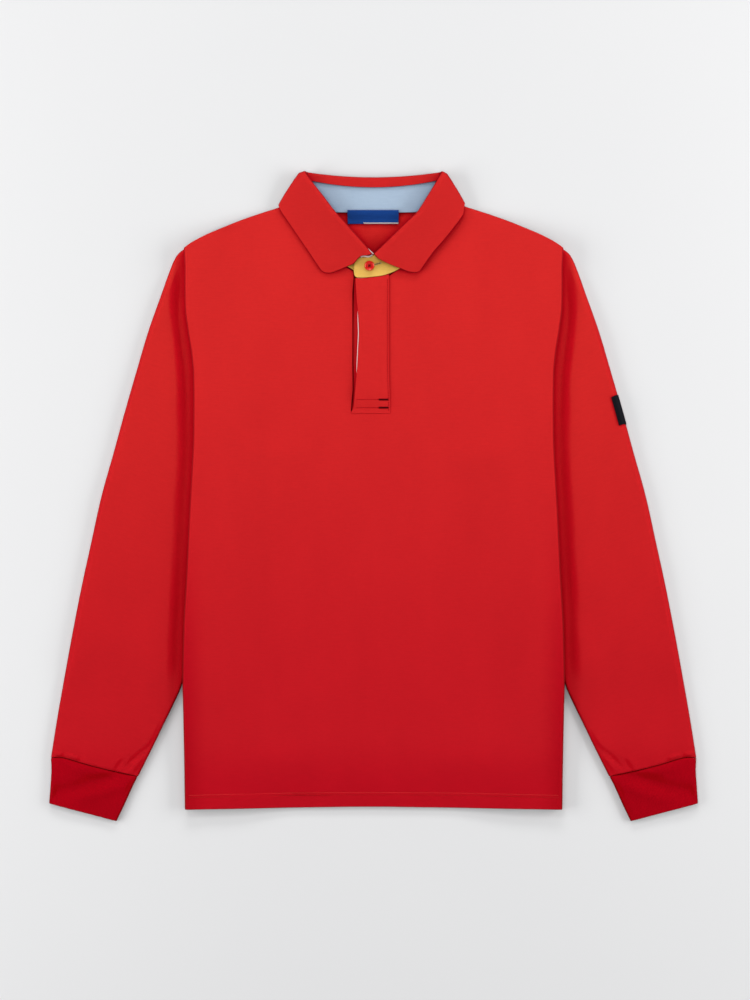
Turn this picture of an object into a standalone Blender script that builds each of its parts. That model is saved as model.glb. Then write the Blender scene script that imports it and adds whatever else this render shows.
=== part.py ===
"""Long-sleeve polo shirt laid flat, with its sides turned under and its sleeves spread.

The shirt lies on z = 0 with its collar towards +Y. Left and right are those seen from above.
Every length below is in millimetres, and build_mesh turns it into metres.
"""

import math

import bmesh
import bpy
import numpy as np

# Cloth
MM = 0.001
WALL = 1.4
LAYER_GAP = 0.5
SEAM_GAP = 0.3
PITCH = WALL + LAYER_GAP
RIB_WALL = 1.6
BAND_WALL = 1.2
LABEL_WALL = 1.0

# Body of the shirt
FRONT_CROWN = 1.0
CROWN_FADES = (140.0, 200.0)
CROWN_RISES = (-369.0, -325.0)
STACK_RAMP = (-14.0, -2.0)
COVER_RAMP = (-26.0, -6.0)
SIDE_COLUMNS = (0.0, 0.26, 0.5, 0.74, 1.0)
RAMP_COLUMNS = (0.34, 0.67)
MIDDLE_COLUMNS = (0.25, 0.5, 0.75)
TURN_ANGLES = (45.0, 0.0, -45.0)
SHOULDER_RISES = (200.0, 350.0)
NECK_DEPTH = 15.0
NECK_RISES = (285.0, 350.0)

# Sleeves and cuffs
SLEEVE_UNDER_BODY = 4.4
BODY_LIFT = SLEEVE_UNDER_BODY + LAYER_GAP
SLEEVE_CROWN = 2.2
CROWN_REACH = (4.0, 36.0)
EDGE_HEIGHT = 3.2
UNDERARM_Y = 47.0
SHOULDER_TIP_X = 231.2
SHOULDER_TIP_Y = 281.0
CROWN_ENDS = (-250.0, -320.0)
CROWN_LOSS = 0.8
CUFF_SEAM_BOW = 3.4
CUFF_HEIGHT = 4.6

# Collar, stand and placket
FRONT_TOP = WALL + PITCH + FRONT_CROWN
COLLAR_TIP_Z = 8.0
FALL_Z = RIB_WALL / 2
SLOT_END_Y = 101.0
PLACKET_TOP_Y = 258.2
FACING_WALL = 0.8
TAB_BOTTOM = FRONT_TOP + SEAM_GAP
STRIP_BOTTOM = TAB_BOTTOM + FACING_WALL + SEAM_GAP
STAND_TOP = TAB_BOTTOM + WALL

# Button
BUTTON_CENTRE = (-5.0, 272.3)
BUTTON_RADIUS = 5.75
BUTTON_HEIGHT = 2.6
BUTTON_RIM = 1.1
BUTTON_HOLE_RADIUS = 0.75
BUTTON_HOLE_SPREAD = 1.35
BUTTON_SEGMENTS = 32


def table(columns, rows):
    """Named columns of a short table, as arrays."""
    values = np.array(rows, dtype=float)
    return {name: values[:, i] for i, name in enumerate(columns.split())}


BODY_EDGE = table("y half_width turned_under", [
    (-369.0, 222.7, 45.0),
    (-319.0, 223.3, 45.0),
    (-240.0, 224.7, 45.5),
    (-221.0, 225.2, 46.0),
    (-157.0, 224.0, 46.0),
    (-90.0, 220.4, 46.5),
    (-21.6, 217.2, 48.0),
    (47.0, 213.4, 50.4),
    (66.9, 212.6, 39.0),
    (85.0, 212.3, 31.0),
    (110.6, 212.2, 24.0),
    (143.6, 212.6, 18.0),
    (168.4, 214.7, 13.5),
    (196.7, 219.1, 10.5),
    (225.0, 222.4, 8.5),
    (247.4, 223.4, 8.0),
    (274.6, 226.5, 8.0),
    (283.0, 232.0, 8.0),
])

SHOULDER_LINE = table("x y", [
    (84.0, 350.0),
    (112.0, 341.0),
    (140.0, 332.0),
    (174.0, 320.0),
    (199.0, 307.0),
    (218.0, 298.0),
    (225.0, 291.6),
    (232.0, 283.0),
])

BODY_ROWS = table("inner_y edge_y left_x right_x", [
    (-366.0, -369.0, -26.7, 14.0),
    (-352.0, -353.5, -26.7, 14.0),
    (-347.0, -348.0, -26.7, 14.0),
    (-315.0, -315.0, -26.7, 14.0),
    (-280.0, -280.0, -26.7, 14.0),
    (-250.0, -250.0, -26.7, 14.0),
    (-222.0, -222.0, -26.7, 14.0),
    (-190.0, -190.0, -26.7, 14.0),
    (-150.0, -150.0, -26.7, 14.0),
    (-105.0, -105.0, -26.7, 14.0),
    (-60.0, -60.0, -26.7, 14.0),
    (-15.0, -15.0, -26.7, 14.0),
    (25.0, 25.0, -26.7, 14.0),
    (50.0, 47.0, -26.7, 14.0),
    (72.0, 66.9, -26.7, 14.0),
    (SLOT_END_Y, 90.0, -26.7, 14.0),
    (127.0, 114.0, -23.1, 14.0),
    (155.0, 138.0, -23.1, 14.0),
    (185.0, 162.0, -23.1, 14.0),
    (215.0, 187.0, -23.1, 14.0),
    (240.0, 210.0, -23.1, 14.0),
    (258.0, 230.0, -23.1, 14.0),
    (266.0, 242.0, -23.6, 26.0),
    (274.0, 252.0, -38.0, 36.0),
    (290.0, 263.0, -50.0, 48.0),
    (310.0, 272.0, -61.0, 61.0),
    (330.0, 278.0, -72.0, 72.0),
    (350.0, 283.0, -84.0, 84.0),
])

SLEEVE_SECTIONS = table("outer_x outer_y inner_x inner_y armhole_share", [
    (SHOULDER_TIP_X, SHOULDER_TIP_Y, 163.0, UNDERARM_Y, 1.0),
    (240.0, 268.0, 166.5, 28.0, 0.6),
    (251.0, 240.0, 174.5, -4.0, 0.25),
    (265.5, 196.0, 184.0, -44.0, 0.0),
    (279.3, 149.5, 193.5, -84.0, 0.0),
    (293.0, 102.0, 202.5, -122.0, 0.0),
    (307.3, 50.0, 211.5, -160.0, 0.0),
    (321.0, 1.0, 219.5, -193.0, 0.0),
    (333.0, -53.0, 226.5, -222.0, 0.0),
    (344.8, -107.0, 236.0, -247.0, 0.0),
    (355.8, -163.0, 247.0, -267.0, 0.0),
    (365.5, -216.0, 258.5, -290.0, 0.0),
    (373.6, -262.0, 269.0, -311.0, 0.0),
    (381.0, -308.3, 278.5, -330.0, 0.0),
])

CUFF_SECTIONS = table("outer_x outer_y inner_x inner_y bow_share", [
    (381.0, -308.6, 278.6, -330.3, 1.0),
    (380.4, -322.0, 284.5, -342.0, 0.8),
    (381.6, -342.0, 293.5, -362.0, 0.4),
    (383.0, -362.0, 303.5, -383.0, 0.0),
])

TUBE_PROFILE = table("across share_of_height", [
    (0.040, 0.25),
    (0.120, 1.00),
    (0.240, 1.00),
    (0.380, 1.00),
    (0.520, 1.00),
    (0.660, 1.00),
    (0.790, 1.00),
    (0.890, 0.90),
    (0.965, 0.20),
])
TUBE_FLOOR = (0.960, 0.700, 0.350, 0.045)

COLLAR_COLUMNS = "fold_x fold_y edge_x edge_y fold_z edge_z bow"
LEAF_EDGE_Z = FRONT_TOP + LAYER_GAP + RIB_WALL / 2
LEAF_LEFT = table(COLLAR_COLUMNS, [
    (-2.4, 286.0, -61.7, 266.9, 9.8, LEAF_EDGE_Z, 5.5),
    (-11.0, 296.5, -69.0, 277.5, 10.6, LEAF_EDGE_Z, 3.5),
    (-22.0, 308.8, -78.0, 290.8, 11.2, LEAF_EDGE_Z, 1.5),
    (-34.0, 322.2, -88.0, 305.4, 11.6, LEAF_EDGE_Z, 0.0),
    (-46.0, 335.7, -97.0, 318.6, 12.0, LEAF_EDGE_Z, 0.0),
    (-60.0, 354.0, -104.0, 328.8, 12.0, LEAF_EDGE_Z, 0.0),
    (-74.0, 372.0, -109.3, 336.6, 11.0, LEAF_EDGE_Z, 0.0),
])
LEAF_RIGHT = table(COLLAR_COLUMNS, [
    (1.4, 285.6, 54.5, 266.5, 9.8, LEAF_EDGE_Z, 5.5),
    (11.0, 295.3, 63.0, 279.0, 10.6, LEAF_EDGE_Z, 3.5),
    (22.0, 306.0, 72.0, 290.5, 11.2, LEAF_EDGE_Z, 1.5),
    (36.0, 319.6, 82.5, 302.3, 11.6, LEAF_EDGE_Z, 0.0),
    (52.0, 335.2, 93.0, 315.5, 12.0, LEAF_EDGE_Z, 0.0),
    (63.5, 353.0, 101.5, 326.5, 12.0, LEAF_EDGE_Z, 0.0),
    (74.5, 371.0, 106.2, 334.8, 11.0, LEAF_EDGE_Z, 0.0),
])
COLLAR_TIP_LEFT = table(COLLAR_COLUMNS, [(-81.0, 382.2, -112.0, 343.0, COLLAR_TIP_Z, 5.3, 0.0)])
COLLAR_TIP_RIGHT = table(COLLAR_COLUMNS, [(80.5, 381.9, 107.6, 345.5, COLLAR_TIP_Z, 5.3, 0.0)])
BACK_FALL = table(COLLAR_COLUMNS, [
    (-71.0, 380.4, -98.5, 349.2, 3.0, FALL_Z, 0.0),
    (-54.0, 378.5, -76.0, 352.0, 3.0, FALL_Z, 0.0),
    (-27.0, 376.6, -35.0, 340.4, 3.0, FALL_Z, 0.0),
    (0.0, 375.9, 0.0, 337.0, 3.0, FALL_Z, 0.0),
    (27.0, 376.6, 35.0, 340.4, 3.0, FALL_Z, 0.0),
    (54.0, 378.5, 76.0, 352.0, 3.0, FALL_Z, 0.0),
    (71.0, 380.4, 96.5, 350.0, 3.0, FALL_Z, 0.0),
])
LEAF_ROLL = table("along up", [(0.4, -2.6), (0.0, -1.1), (1.1, -0.2), (5.0, 0.0)])
TIP_ROLL = table("along up", [(-0.6, 1.0), (0.0, 0.3), (0.8, 0.0), (5.0, -0.3)])
FALL_ROLL = table("along up", [(1.2, 2.2), (0.0, 0.2), (0.7, -1.7), (4.0, -2.2)])
LEAF_ACROSS = (0.22, 0.38, 0.54, 0.70, 0.86, 1.0)

STAND_TAB = table("x low_y high_y", [
    (-23.4, 260.4, 276.5),
    (-21.9, 258.8, 280.2),
    (-18.0, 258.5, 282.0),
    (-8.0, 258.5, 282.8),
    (1.0, 258.5, 284.2),
    (9.0, 258.8, 288.0),
    (17.2, 261.0, 295.5),
    (31.0, 268.9, 308.0),
    (38.0, 274.5, 314.0),
])
STAND_BELOW = table("x low_y high_y", [
    (-36.6, 276.0, 287.0),
    (-30.0, 271.2, 290.0),
    (-23.2, 266.9, 288.0),
    (-22.2, 258.6, 287.0),
    (-12.0, 258.6, 284.0),
    (0.0, 258.6, 282.0),
    (13.4, 258.6, 280.0),
])
PLACKET_EDGE = table("y left_x right_x", [
    (99.9, -26.2, 19.9),
    (105.7, -23.8, 19.8),
    (116.5, -22.8, 19.4),
    (128.9, -21.7, 19.0),
    (152.0, -19.6, 18.4),
    (173.0, -18.4, 18.3),
    (194.2, -17.5, 18.3),
    (215.2, -18.5, 18.3),
    (237.0, -20.4, 18.3),
    (PLACKET_TOP_Y, -21.7, 18.3),
])
FACING_EDGE = table("y left_x right_x", [
    (102.0, -21.0, 16.0),
    (128.0, -20.0, 16.0),
    (150.0, -20.4, 16.0),
    (173.0, -19.6, 16.0),
    (194.2, -18.9, 16.0),
    (214.0, -19.2, 16.0),
    (230.0, -18.6, 16.0),
    (PLACKET_TOP_Y, -19.6, 16.0),
])
UNDER_EDGE = table("y left_x right_x", [
    (SLOT_END_Y + SEAM_GAP, -25.9, 13.7),
    (127.0, -22.7, 13.7),
    (190.0, -22.7, 13.7),
    (PLACKET_TOP_Y, -22.7, 13.7),
])
NECK_LABEL = table("y left_x right_x bottom_z", [
    (322.0, -30.6, 29.4, WALL + SEAM_GAP),
    (331.0, -30.8, 29.5, WALL + SEAM_GAP + 0.3),
    (334.0, -30.8, 29.5, 3.4),
    (338.1, -30.8, 29.5, 3.9),
])

# Label that wraps over the outer edge of the right sleeve
ARM_LABEL_START = 0.62
ARM_LABEL_END = 0.33
ARM_LABEL_SECTION = 4
ARM_LABEL = table("inset bottom_z", [
    (9.4, 5.4),
    (6.8, 4.9),
    (2.6, 3.3),
    (-0.4, 1.7),
])

RED = (0.62, 0.02, 0.022)
DARK_RED = (0.44, 0.008, 0.012)
FINISHES = {
    "jersey": (RED, 0.85),
    "rib": (RED, 0.85),
    "cuff_rib": (DARK_RED, 0.85),
    "neck_band": ((0.42, 0.52, 0.66), 0.8),
    "tab": ((0.66, 0.4, 0.09), 0.8),
    "facing": ((0.85, 0.83, 0.8), 0.8),
    "button": ((0.6, 0.02, 0.03), 0.3),
    "label": ((0.01, 0.05, 0.24), 0.7),
    "dark_label": ((0.01, 0.01, 0.014), 0.7),
}


def smoothstep(low, high, value):
    share = np.clip((np.asarray(value, dtype=float) - low) / (high - low), 0.0, 1.0)
    return share * share * (3.0 - 2.0 * share)


def along(rows, name, y, key="y"):
    """A column of a table at y, on straight lines between its rows."""
    return float(np.interp(y, rows[key], rows[name]))


def material(name):
    colour, roughness = FINISHES[name]
    found = bpy.data.materials.get(name)
    if found:
        return found
    made = bpy.data.materials.new(name)
    made.use_nodes = True
    shader = made.node_tree.nodes["Principled BSDF"]
    shader.inputs["Base Color"].default_value = (*colour, 1.0)
    shader.inputs["Roughness"].default_value = roughness
    shader.inputs["Metallic"].default_value = 0.0
    return made


def build_mesh(name, points, faces, finish):
    """One named object from points in millimetres and lists of corners."""
    mesh = bpy.data.meshes.new(name)
    work = bmesh.new()
    corners = [work.verts.new([c * MM for c in p]) for p in points]
    for face in faces:
        work.faces.new([corners[i] for i in face])
    bmesh.ops.delete(work, geom=[v for v in work.verts if not v.link_faces], context="VERTS")
    bmesh.ops.recalc_face_normals(work, faces=work.faces)
    work.to_mesh(mesh)
    work.free()
    mesh.materials.append(material(finish))
    mesh.shade_smooth()
    mesh.set_sharp_from_angle(angle=math.radians(50.0))
    made = bpy.data.objects.new(name, mesh)
    bpy.context.scene.collection.objects.link(made)
    return made


def cloth_wall(name, outer, inner, finish, keep=None, ring=False):
    """A closed wall between two grids of points; ring joins the last column to the first.

    Every cell is split along the same diagonal, so walls that lie on each other keep their gap.
    """
    outer = np.asarray(outer, dtype=float)
    inner = np.asarray(inner, dtype=float)
    rows, columns = outer.shape[:2]
    cells_across = columns if ring else columns - 1
    if keep is None:
        keep = np.ones((rows - 1, cells_across), dtype=bool)

    def corner(row, column, side):
        return side * rows * columns + row * columns + column % columns

    faces = []
    edges = {}
    for row in range(rows - 1):
        for column in range(cells_across):
            if not keep[row, column]:
                continue
            loop = [(row, column), (row, column + 1), (row + 1, column + 1), (row + 1, column)]
            loop = [(r, c % columns) for r, c in loop]
            for side in (0, 1):
                a, b, c, d = (corner(*p, side) for p in loop)
                faces.append((a, b, c))
                faces.append((a, c, d))
            for start, end in zip(loop, loop[1:] + loop[:1]):
                key = tuple(sorted((start, end)))
                edges[key] = edges.get(key, 0) + 1
    for (start, end), uses in edges.items():
        if uses == 1:
            faces.append((corner(*start, 0), corner(*end, 0), corner(*end, 1)))
            faces.append((corner(*start, 0), corner(*end, 1), corner(*start, 1)))
    points = np.concatenate([outer.reshape(-1, 3), inner.reshape(-1, 3)])
    return build_mesh(name, points, faces, finish)


def sheet_wall(name, grid, thickness, finish):
    """A wall of even thickness about a grid of middle points."""
    grid = np.asarray(grid, dtype=float)
    normals = np.cross(np.gradient(grid, axis=0), np.gradient(grid, axis=1))
    normals /= np.linalg.norm(normals, axis=2, keepdims=True)
    return cloth_wall(name, grid + normals * thickness / 2, grid - normals * thickness / 2, finish)


def flat_strip(name, rows, bottom, thickness, finish):
    """A flat strip whose rows have a left and a right end, lying at the height bottom."""
    shares = (0.0, 0.5, 1.0)
    low = []
    for i, y in enumerate(rows["y"]):
        height = rows["bottom_z"][i] if "bottom_z" in rows else bottom
        span = rows["right_x"][i] - rows["left_x"][i]
        low.append([(rows["left_x"][i] + span * share, y, height) for share in shares])
    low = np.array(low)
    return cloth_wall(name, low + (0.0, 0.0, thickness), low, finish)


def flat_tab(name, rows, bottom, thickness, finish):
    """A flat tab whose columns have a low and a high end, lying at the height bottom."""
    shares = (0.0, 0.33, 0.67, 1.0)
    low = []
    for x, low_y, high_y in zip(rows["x"], rows["low_y"], rows["high_y"]):
        low.append([(x, low_y + (high_y - low_y) * share, bottom) for share in shares])
    low = np.array(low)
    return cloth_wall(name, low + (0.0, 0.0, thickness), low, finish)


def seam_x(y):
    """Distance from the middle to the edge of the part that is turned under."""
    return along(BODY_EDGE, "half_width", y) - along(BODY_EDGE, "turned_under", y)


def sleeve_start_x(y):
    """Distance from the middle to the sleeve where it lies below the body."""
    if y >= UNDERARM_Y:
        return seam_x(y)
    ordered = slice(None, None, -1)
    return float(np.interp(y, SLEEVE_SECTIONS["inner_y"][ordered], SLEEVE_SECTIONS["inner_x"][ordered]))


def lift(x, y):
    """Height of the lowest layer of the body over the table, where the sleeve lies below it."""
    return BODY_LIFT * float(smoothstep(*COVER_RAMP, abs(x) - sleeve_start_x(y)))


def back_z(x, y):
    """Middle of the back panel's upper layer."""
    stack = float(smoothstep(*STACK_RAMP, abs(x) - seam_x(y)))
    return lift(x, y) + WALL / 2 + 2 * PITCH * stack


def front_z(x, y):
    """Middle of the front panel's upper layer."""
    crown = smoothstep(*CROWN_RISES, y) * (1.0 - smoothstep(*CROWN_FADES, abs(x)))
    return back_z(x, y) + PITCH + FRONT_CROWN * float(crown)


def body_half(row, side, layer):
    """Middle points and normals of one half row, from the middle of the body to its side seam.

    layer 0 is the front panel, which turns under outermost, and layer 1 the back panel inside it.
    """
    inner_y = BODY_ROWS["inner_y"][row]
    edge_y = BODY_ROWS["edge_y"][row]
    inner_x = abs(BODY_ROWS["left_x" if side < 0 else "right_x"][row])
    upper_z = (front_z, back_z)[layer]
    edge_x = along(BODY_EDGE, "half_width", edge_y)
    seam = seam_x(edge_y)
    turn_radius = 1.5 * PITCH
    turn_x = edge_x - WALL / 2 - turn_radius
    ramp_start = seam + STACK_RAMP[0] - 2.0
    ramp_end = seam + STACK_RAMP[1]
    top_x = [inner_x + (ramp_start - inner_x) * share for share in SIDE_COLUMNS]
    shelf_x = [ramp_end + (turn_x - ramp_end) * share for share in RAMP_COLUMNS]
    xs = top_x + [ramp_end] + shelf_x + [turn_x]

    def row_y(x):
        share = (x - inner_x) / (edge_x - inner_x)
        start_x = SHOULDER_LINE["x"][0]
        end_x = SHOULDER_LINE["x"][-1]
        shoulder_y = along(SHOULDER_LINE, "y", start_x + (end_x - start_x) * share, key="x")
        straight_y = SHOULDER_LINE["y"][0] + (SHOULDER_LINE["y"][-1] - SHOULDER_LINE["y"][0]) * share
        bow = (shoulder_y - straight_y) * float(smoothstep(*SHOULDER_RISES, inner_y))
        return inner_y + (edge_y - inner_y) * share + bow

    points = []
    normals = []
    for x in xs:
        points.append((side * x, row_y(x), upper_z(x, row_y(x))))
        normals.append((0.0, 0.0, 1.0))
    radius = turn_radius - layer * PITCH
    floor_z = lift(turn_x, row_y(turn_x)) + WALL / 2
    centre_z = (back_z(turn_x, row_y(turn_x)) + PITCH + floor_z) / 2
    for angle in TURN_ANGLES:
        turn = math.radians(angle)
        x = turn_x + radius * math.cos(turn)
        points.append((side * x, row_y(x), centre_z + radius * math.sin(turn)))
        normals.append((side * math.cos(turn), 0.0, math.sin(turn)))
    for x in [turn_x] + shelf_x[::-1] + [seam]:
        points.append((side * x, row_y(x), lift(x, row_y(x)) + WALL / 2 + layer * PITCH))
        normals.append((0.0, 0.0, -1.0))
    return points, normals


def body_panel(name, layer, finish):
    """Front or back panel, with both sides turned under."""
    outer = []
    inner = []
    for row in range(len(BODY_ROWS["inner_y"])):
        left_points, left_normals = body_half(row, -1, layer)
        right_points, right_normals = body_half(row, 1, layer)
        start = np.array(left_points[0])
        end = np.array(right_points[0])
        middle = []
        for share in MIDDLE_COLUMNS:
            point = start + (end - start) * share
            neck = float(smoothstep(*NECK_RISES, start[1]))
            dip = 1.0 - (point[0] / start[0]) ** 2
            middle.append(point - (0.0, NECK_DEPTH * neck * dip, 0.0))
        points = np.array(left_points[::-1] + [tuple(p) for p in middle] + right_points)
        middle_normals = [(0.0, 0.0, 1.0)] * len(middle)
        normals = np.array(left_normals[::-1] + middle_normals + right_normals)
        outer.append(points + normals * WALL / 2)
        inner.append(points - normals * WALL / 2)
    keep = np.ones((len(outer) - 1, len(outer[0]) - 1), dtype=bool)
    if layer == 0:
        first = len(left_points) - 1
        slot_rows = BODY_ROWS["inner_y"][:-1] >= SLOT_END_Y
        keep[slot_rows, first:first + len(MIDDLE_COLUMNS) + 1] = False
    return cloth_wall(name, outer, inner, finish, keep=keep)


def tube_section(start, end, plan, height):
    """One ring of a flattened tube, as its outer and its inner points.

    start and end are the ring's edges, plan moves a point across it, height gives its top.
    """
    across = (end - start) / np.linalg.norm(end - start)
    edge_z = EDGE_HEIGHT / 2
    outer = [plan(0.0, start, edge_z)]
    inner = [plan(0.0, start + across * WALL, edge_z)]
    for share, rise in zip(TUBE_PROFILE["across"], TUBE_PROFILE["share_of_height"]):
        at = start + (end - start) * share
        top = EDGE_HEIGHT + (height(share) - EDGE_HEIGHT) * rise
        outer.append(plan(share, at, top))
        inner.append(plan(share, at, top - WALL))
    outer.append(plan(1.0, end, edge_z))
    inner.append(plan(1.0, end - across * WALL, edge_z))
    for share in TUBE_FLOOR:
        at = start + (end - start) * share
        outer.append(plan(share, at, 0.0))
        inner.append(plan(share, at, WALL))
    return outer, inner


def sleeve_ring(side, section):
    """Outer and inner points of a sleeve at one of its sections, from inner edge to outer edge."""
    inner_edge = np.array([SLEEVE_SECTIONS["inner_x"][section], SLEEVE_SECTIONS["inner_y"][section]])
    outer_edge = np.array([SLEEVE_SECTIONS["outer_x"][section], SLEEVE_SECTIONS["outer_y"][section]])
    armhole_share = SLEEVE_SECTIONS["armhole_share"][section]
    last = section == len(SLEEVE_SECTIONS["inner_x"]) - 1

    def plan(share, at, z):
        x, y = at
        armhole_y = UNDERARM_Y + (SHOULDER_TIP_Y - UNDERARM_Y) * share
        straight = seam_x(UNDERARM_Y) + (SHOULDER_TIP_X - seam_x(UNDERARM_Y)) * share
        if 0.0 < share < 1.0:
            x += armhole_share * (seam_x(armhole_y) - straight)
        if last:
            y += CUFF_SEAM_BOW * math.sin(math.pi * share ** 4)
        return (side * x, y, z)

    def height(share):
        x, y = inner_edge + (outer_edge - inner_edge) * share
        clear = x - along(BODY_EDGE, "half_width", y)
        free = float(smoothstep(*CROWN_REACH, clear))
        towards_cuff = 1.0 - CROWN_LOSS * float(smoothstep(*CROWN_ENDS, y))
        return SLEEVE_UNDER_BODY + SLEEVE_CROWN * free * towards_cuff

    return tube_section(inner_edge, outer_edge, plan, height)


def make_sleeve(name, side):
    rings = [sleeve_ring(side, i) for i in range(len(SLEEVE_SECTIONS["inner_x"]))]
    return cloth_wall(name, [r[0] for r in rings], [r[1] for r in rings], "jersey", ring=True)


def make_cuff(name, side):
    """Ribbed band at the end of a sleeve."""
    rings = []
    for section in range(len(CUFF_SECTIONS["inner_x"])):
        inner_edge = np.array([CUFF_SECTIONS["inner_x"][section], CUFF_SECTIONS["inner_y"][section]])
        outer_edge = np.array([CUFF_SECTIONS["outer_x"][section], CUFF_SECTIONS["outer_y"][section]])
        bow = CUFF_SEAM_BOW * CUFF_SECTIONS["bow_share"][section]

        def plan(share, at, z):
            return (side * at[0], at[1] + bow * math.sin(math.pi * share ** 4), z)

        rings.append(tube_section(inner_edge, outer_edge, plan, lambda share: CUFF_HEIGHT))
    return cloth_wall(name, [r[0] for r in rings], [r[1] for r in rings], "cuff_rib", ring=True)


def collar_section(rows, i, roll):
    """Points across the collar, from its fold to its outer edge."""
    fold = np.array([rows["fold_x"][i], rows["fold_y"][i]])
    edge = np.array([rows["edge_x"][i], rows["edge_y"][i]])
    span = edge - fold
    length = np.linalg.norm(span)
    across = span / length
    points = []
    for step, up in zip(roll["along"], roll["up"]):
        points.append((*(fold + across * step), rows["fold_z"][i] + up))
    top_z = points[-1][2]
    start = roll["along"][-1] / length
    for share in LEAF_ACROSS:
        at = fold + span * share
        at[1] -= rows["bow"][i] * math.sin(math.pi * share ** 1.4)
        fallen = ((1.0 - share) / (1.0 - start)) ** 1.3
        points.append((*at, rows["edge_z"][i] + (top_z - rows["edge_z"][i]) * fallen))
    return points


def make_collar():
    """Collar with its two leaves folded forward and its back fall below the stand."""
    sections = [collar_section(LEAF_LEFT, i, LEAF_ROLL) for i in range(len(LEAF_LEFT["bow"]))]
    sections.append(collar_section(COLLAR_TIP_LEFT, 0, TIP_ROLL))
    sections += [collar_section(BACK_FALL, i, FALL_ROLL) for i in range(len(BACK_FALL["bow"]))]
    sections.append(collar_section(COLLAR_TIP_RIGHT, 0, TIP_ROLL))
    right = [collar_section(LEAF_RIGHT, i, LEAF_ROLL) for i in range(len(LEAF_RIGHT["bow"]))]
    sections += right[::-1]
    return sheet_wall("collar", sections, RIB_WALL, "rib")


def make_collar_stand():
    """Inside of the stand, which shows at the back of the neck."""
    grid = []
    for w in np.linspace(-1.0, 1.0, 13):
        top = np.array([73.0 * w, 374.0 + 4.4 * w * w, 3.6])
        low = np.array([70.0 * w, 335.3 + 10.6 * w * w, 2.6])
        grid.append([top + (low - top) * share for share in (0.0, 0.28, 0.64, 1.0)])
    return sheet_wall("collar_stand", grid, BAND_WALL, "neck_band")


def make_arm_label():
    """Small woven label over the outer edge of the right sleeve."""
    first = ARM_LABEL_SECTION
    ends = []
    for share, section in ((ARM_LABEL_START, first), (ARM_LABEL_END, first + 1)):
        a = np.array([SLEEVE_SECTIONS["outer_x"][section], SLEEVE_SECTIONS["outer_y"][section]])
        b = np.array([SLEEVE_SECTIONS["outer_x"][section + 1], SLEEVE_SECTIONS["outer_y"][section + 1]])
        ends.append(a + (b - a) * share)
    knee = np.array([SLEEVE_SECTIONS["outer_x"][first + 1], SLEEVE_SECTIONS["outer_y"][first + 1]])
    stations = [ends[0], knee, ends[1]]
    run = (ends[1] - ends[0]) / np.linalg.norm(ends[1] - ends[0])
    inward = np.array([run[1], -run[0]])
    low = []
    high = []
    for station in stations:
        low_row = []
        high_row = []
        for inset, z in zip(ARM_LABEL["inset"], ARM_LABEL["bottom_z"]):
            tilt = math.radians(90.0) * float(smoothstep(4.0, -0.35, inset))
            at = station + inward * inset
            out = station + inward * (inset - LABEL_WALL * math.sin(tilt))
            low_row.append((*at, z))
            high_row.append((*out, z + LABEL_WALL * math.cos(tilt)))
        low.append(low_row)
        high.append(high_row)
    return cloth_wall("arm_label", high, low, "dark_label")


def make_button():
    """Button with a raised rim, a dished face and four holes."""
    centre_x, centre_y = BUTTON_CENTRE
    base = STAND_TOP + SEAM_GAP
    work = bmesh.new()
    outline = [
        (0.0, 0.0),
        (BUTTON_RADIUS - 0.9, 0.0),
        (BUTTON_RADIUS, 0.9),
        (BUTTON_RADIUS, BUTTON_HEIGHT - 0.6),
        (BUTTON_RADIUS - BUTTON_RIM / 2, BUTTON_HEIGHT),
        (BUTTON_RADIUS - BUTTON_RIM - 0.5, BUTTON_HEIGHT - 0.7),
        (0.0, BUTTON_HEIGHT - 0.8),
    ]
    verts = [work.verts.new((r * MM, 0.0, z * MM)) for r, z in outline]
    edges = [work.edges.new(pair) for pair in zip(verts, verts[1:])]
    bmesh.ops.spin(
        work, geom=verts + edges, cent=(0, 0, 0), axis=(0, 0, 1),
        angle=2 * math.pi, steps=BUTTON_SEGMENTS, use_merge=True,
    )
    bmesh.ops.remove_doubles(work, verts=work.verts, dist=0.00001)
    bmesh.ops.recalc_face_normals(work, faces=work.faces)
    mesh = bpy.data.meshes.new("button")
    work.to_mesh(mesh)
    work.free()
    mesh.materials.append(material("button"))
    mesh.shade_smooth()
    mesh.set_sharp_from_angle(angle=math.radians(50.0))
    made = bpy.data.objects.new("button", mesh)
    made.location = (centre_x * MM, centre_y * MM, base * MM)
    bpy.context.scene.collection.objects.link(made)
    for i in range(4):
        turn = math.radians(45.0 + 90.0 * i)
        bpy.ops.mesh.primitive_cylinder_add(
            vertices=12, radius=BUTTON_HOLE_RADIUS * MM, depth=3 * BUTTON_HEIGHT * MM,
            location=(
                (centre_x + BUTTON_HOLE_SPREAD * math.cos(turn)) * MM,
                (centre_y + BUTTON_HOLE_SPREAD * math.sin(turn)) * MM,
                base * MM,
            ),
        )
        cutter = bpy.context.object
        cutter.name = f"button_hole_cutter_{i + 1}"
        cutter.hide_render = True
        cutter.display_type = "WIRE"
        cut = made.modifiers.new(f"hole_{i + 1}", "BOOLEAN")
        cut.operation = "DIFFERENCE"
        cut.object = cutter
    return made


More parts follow.
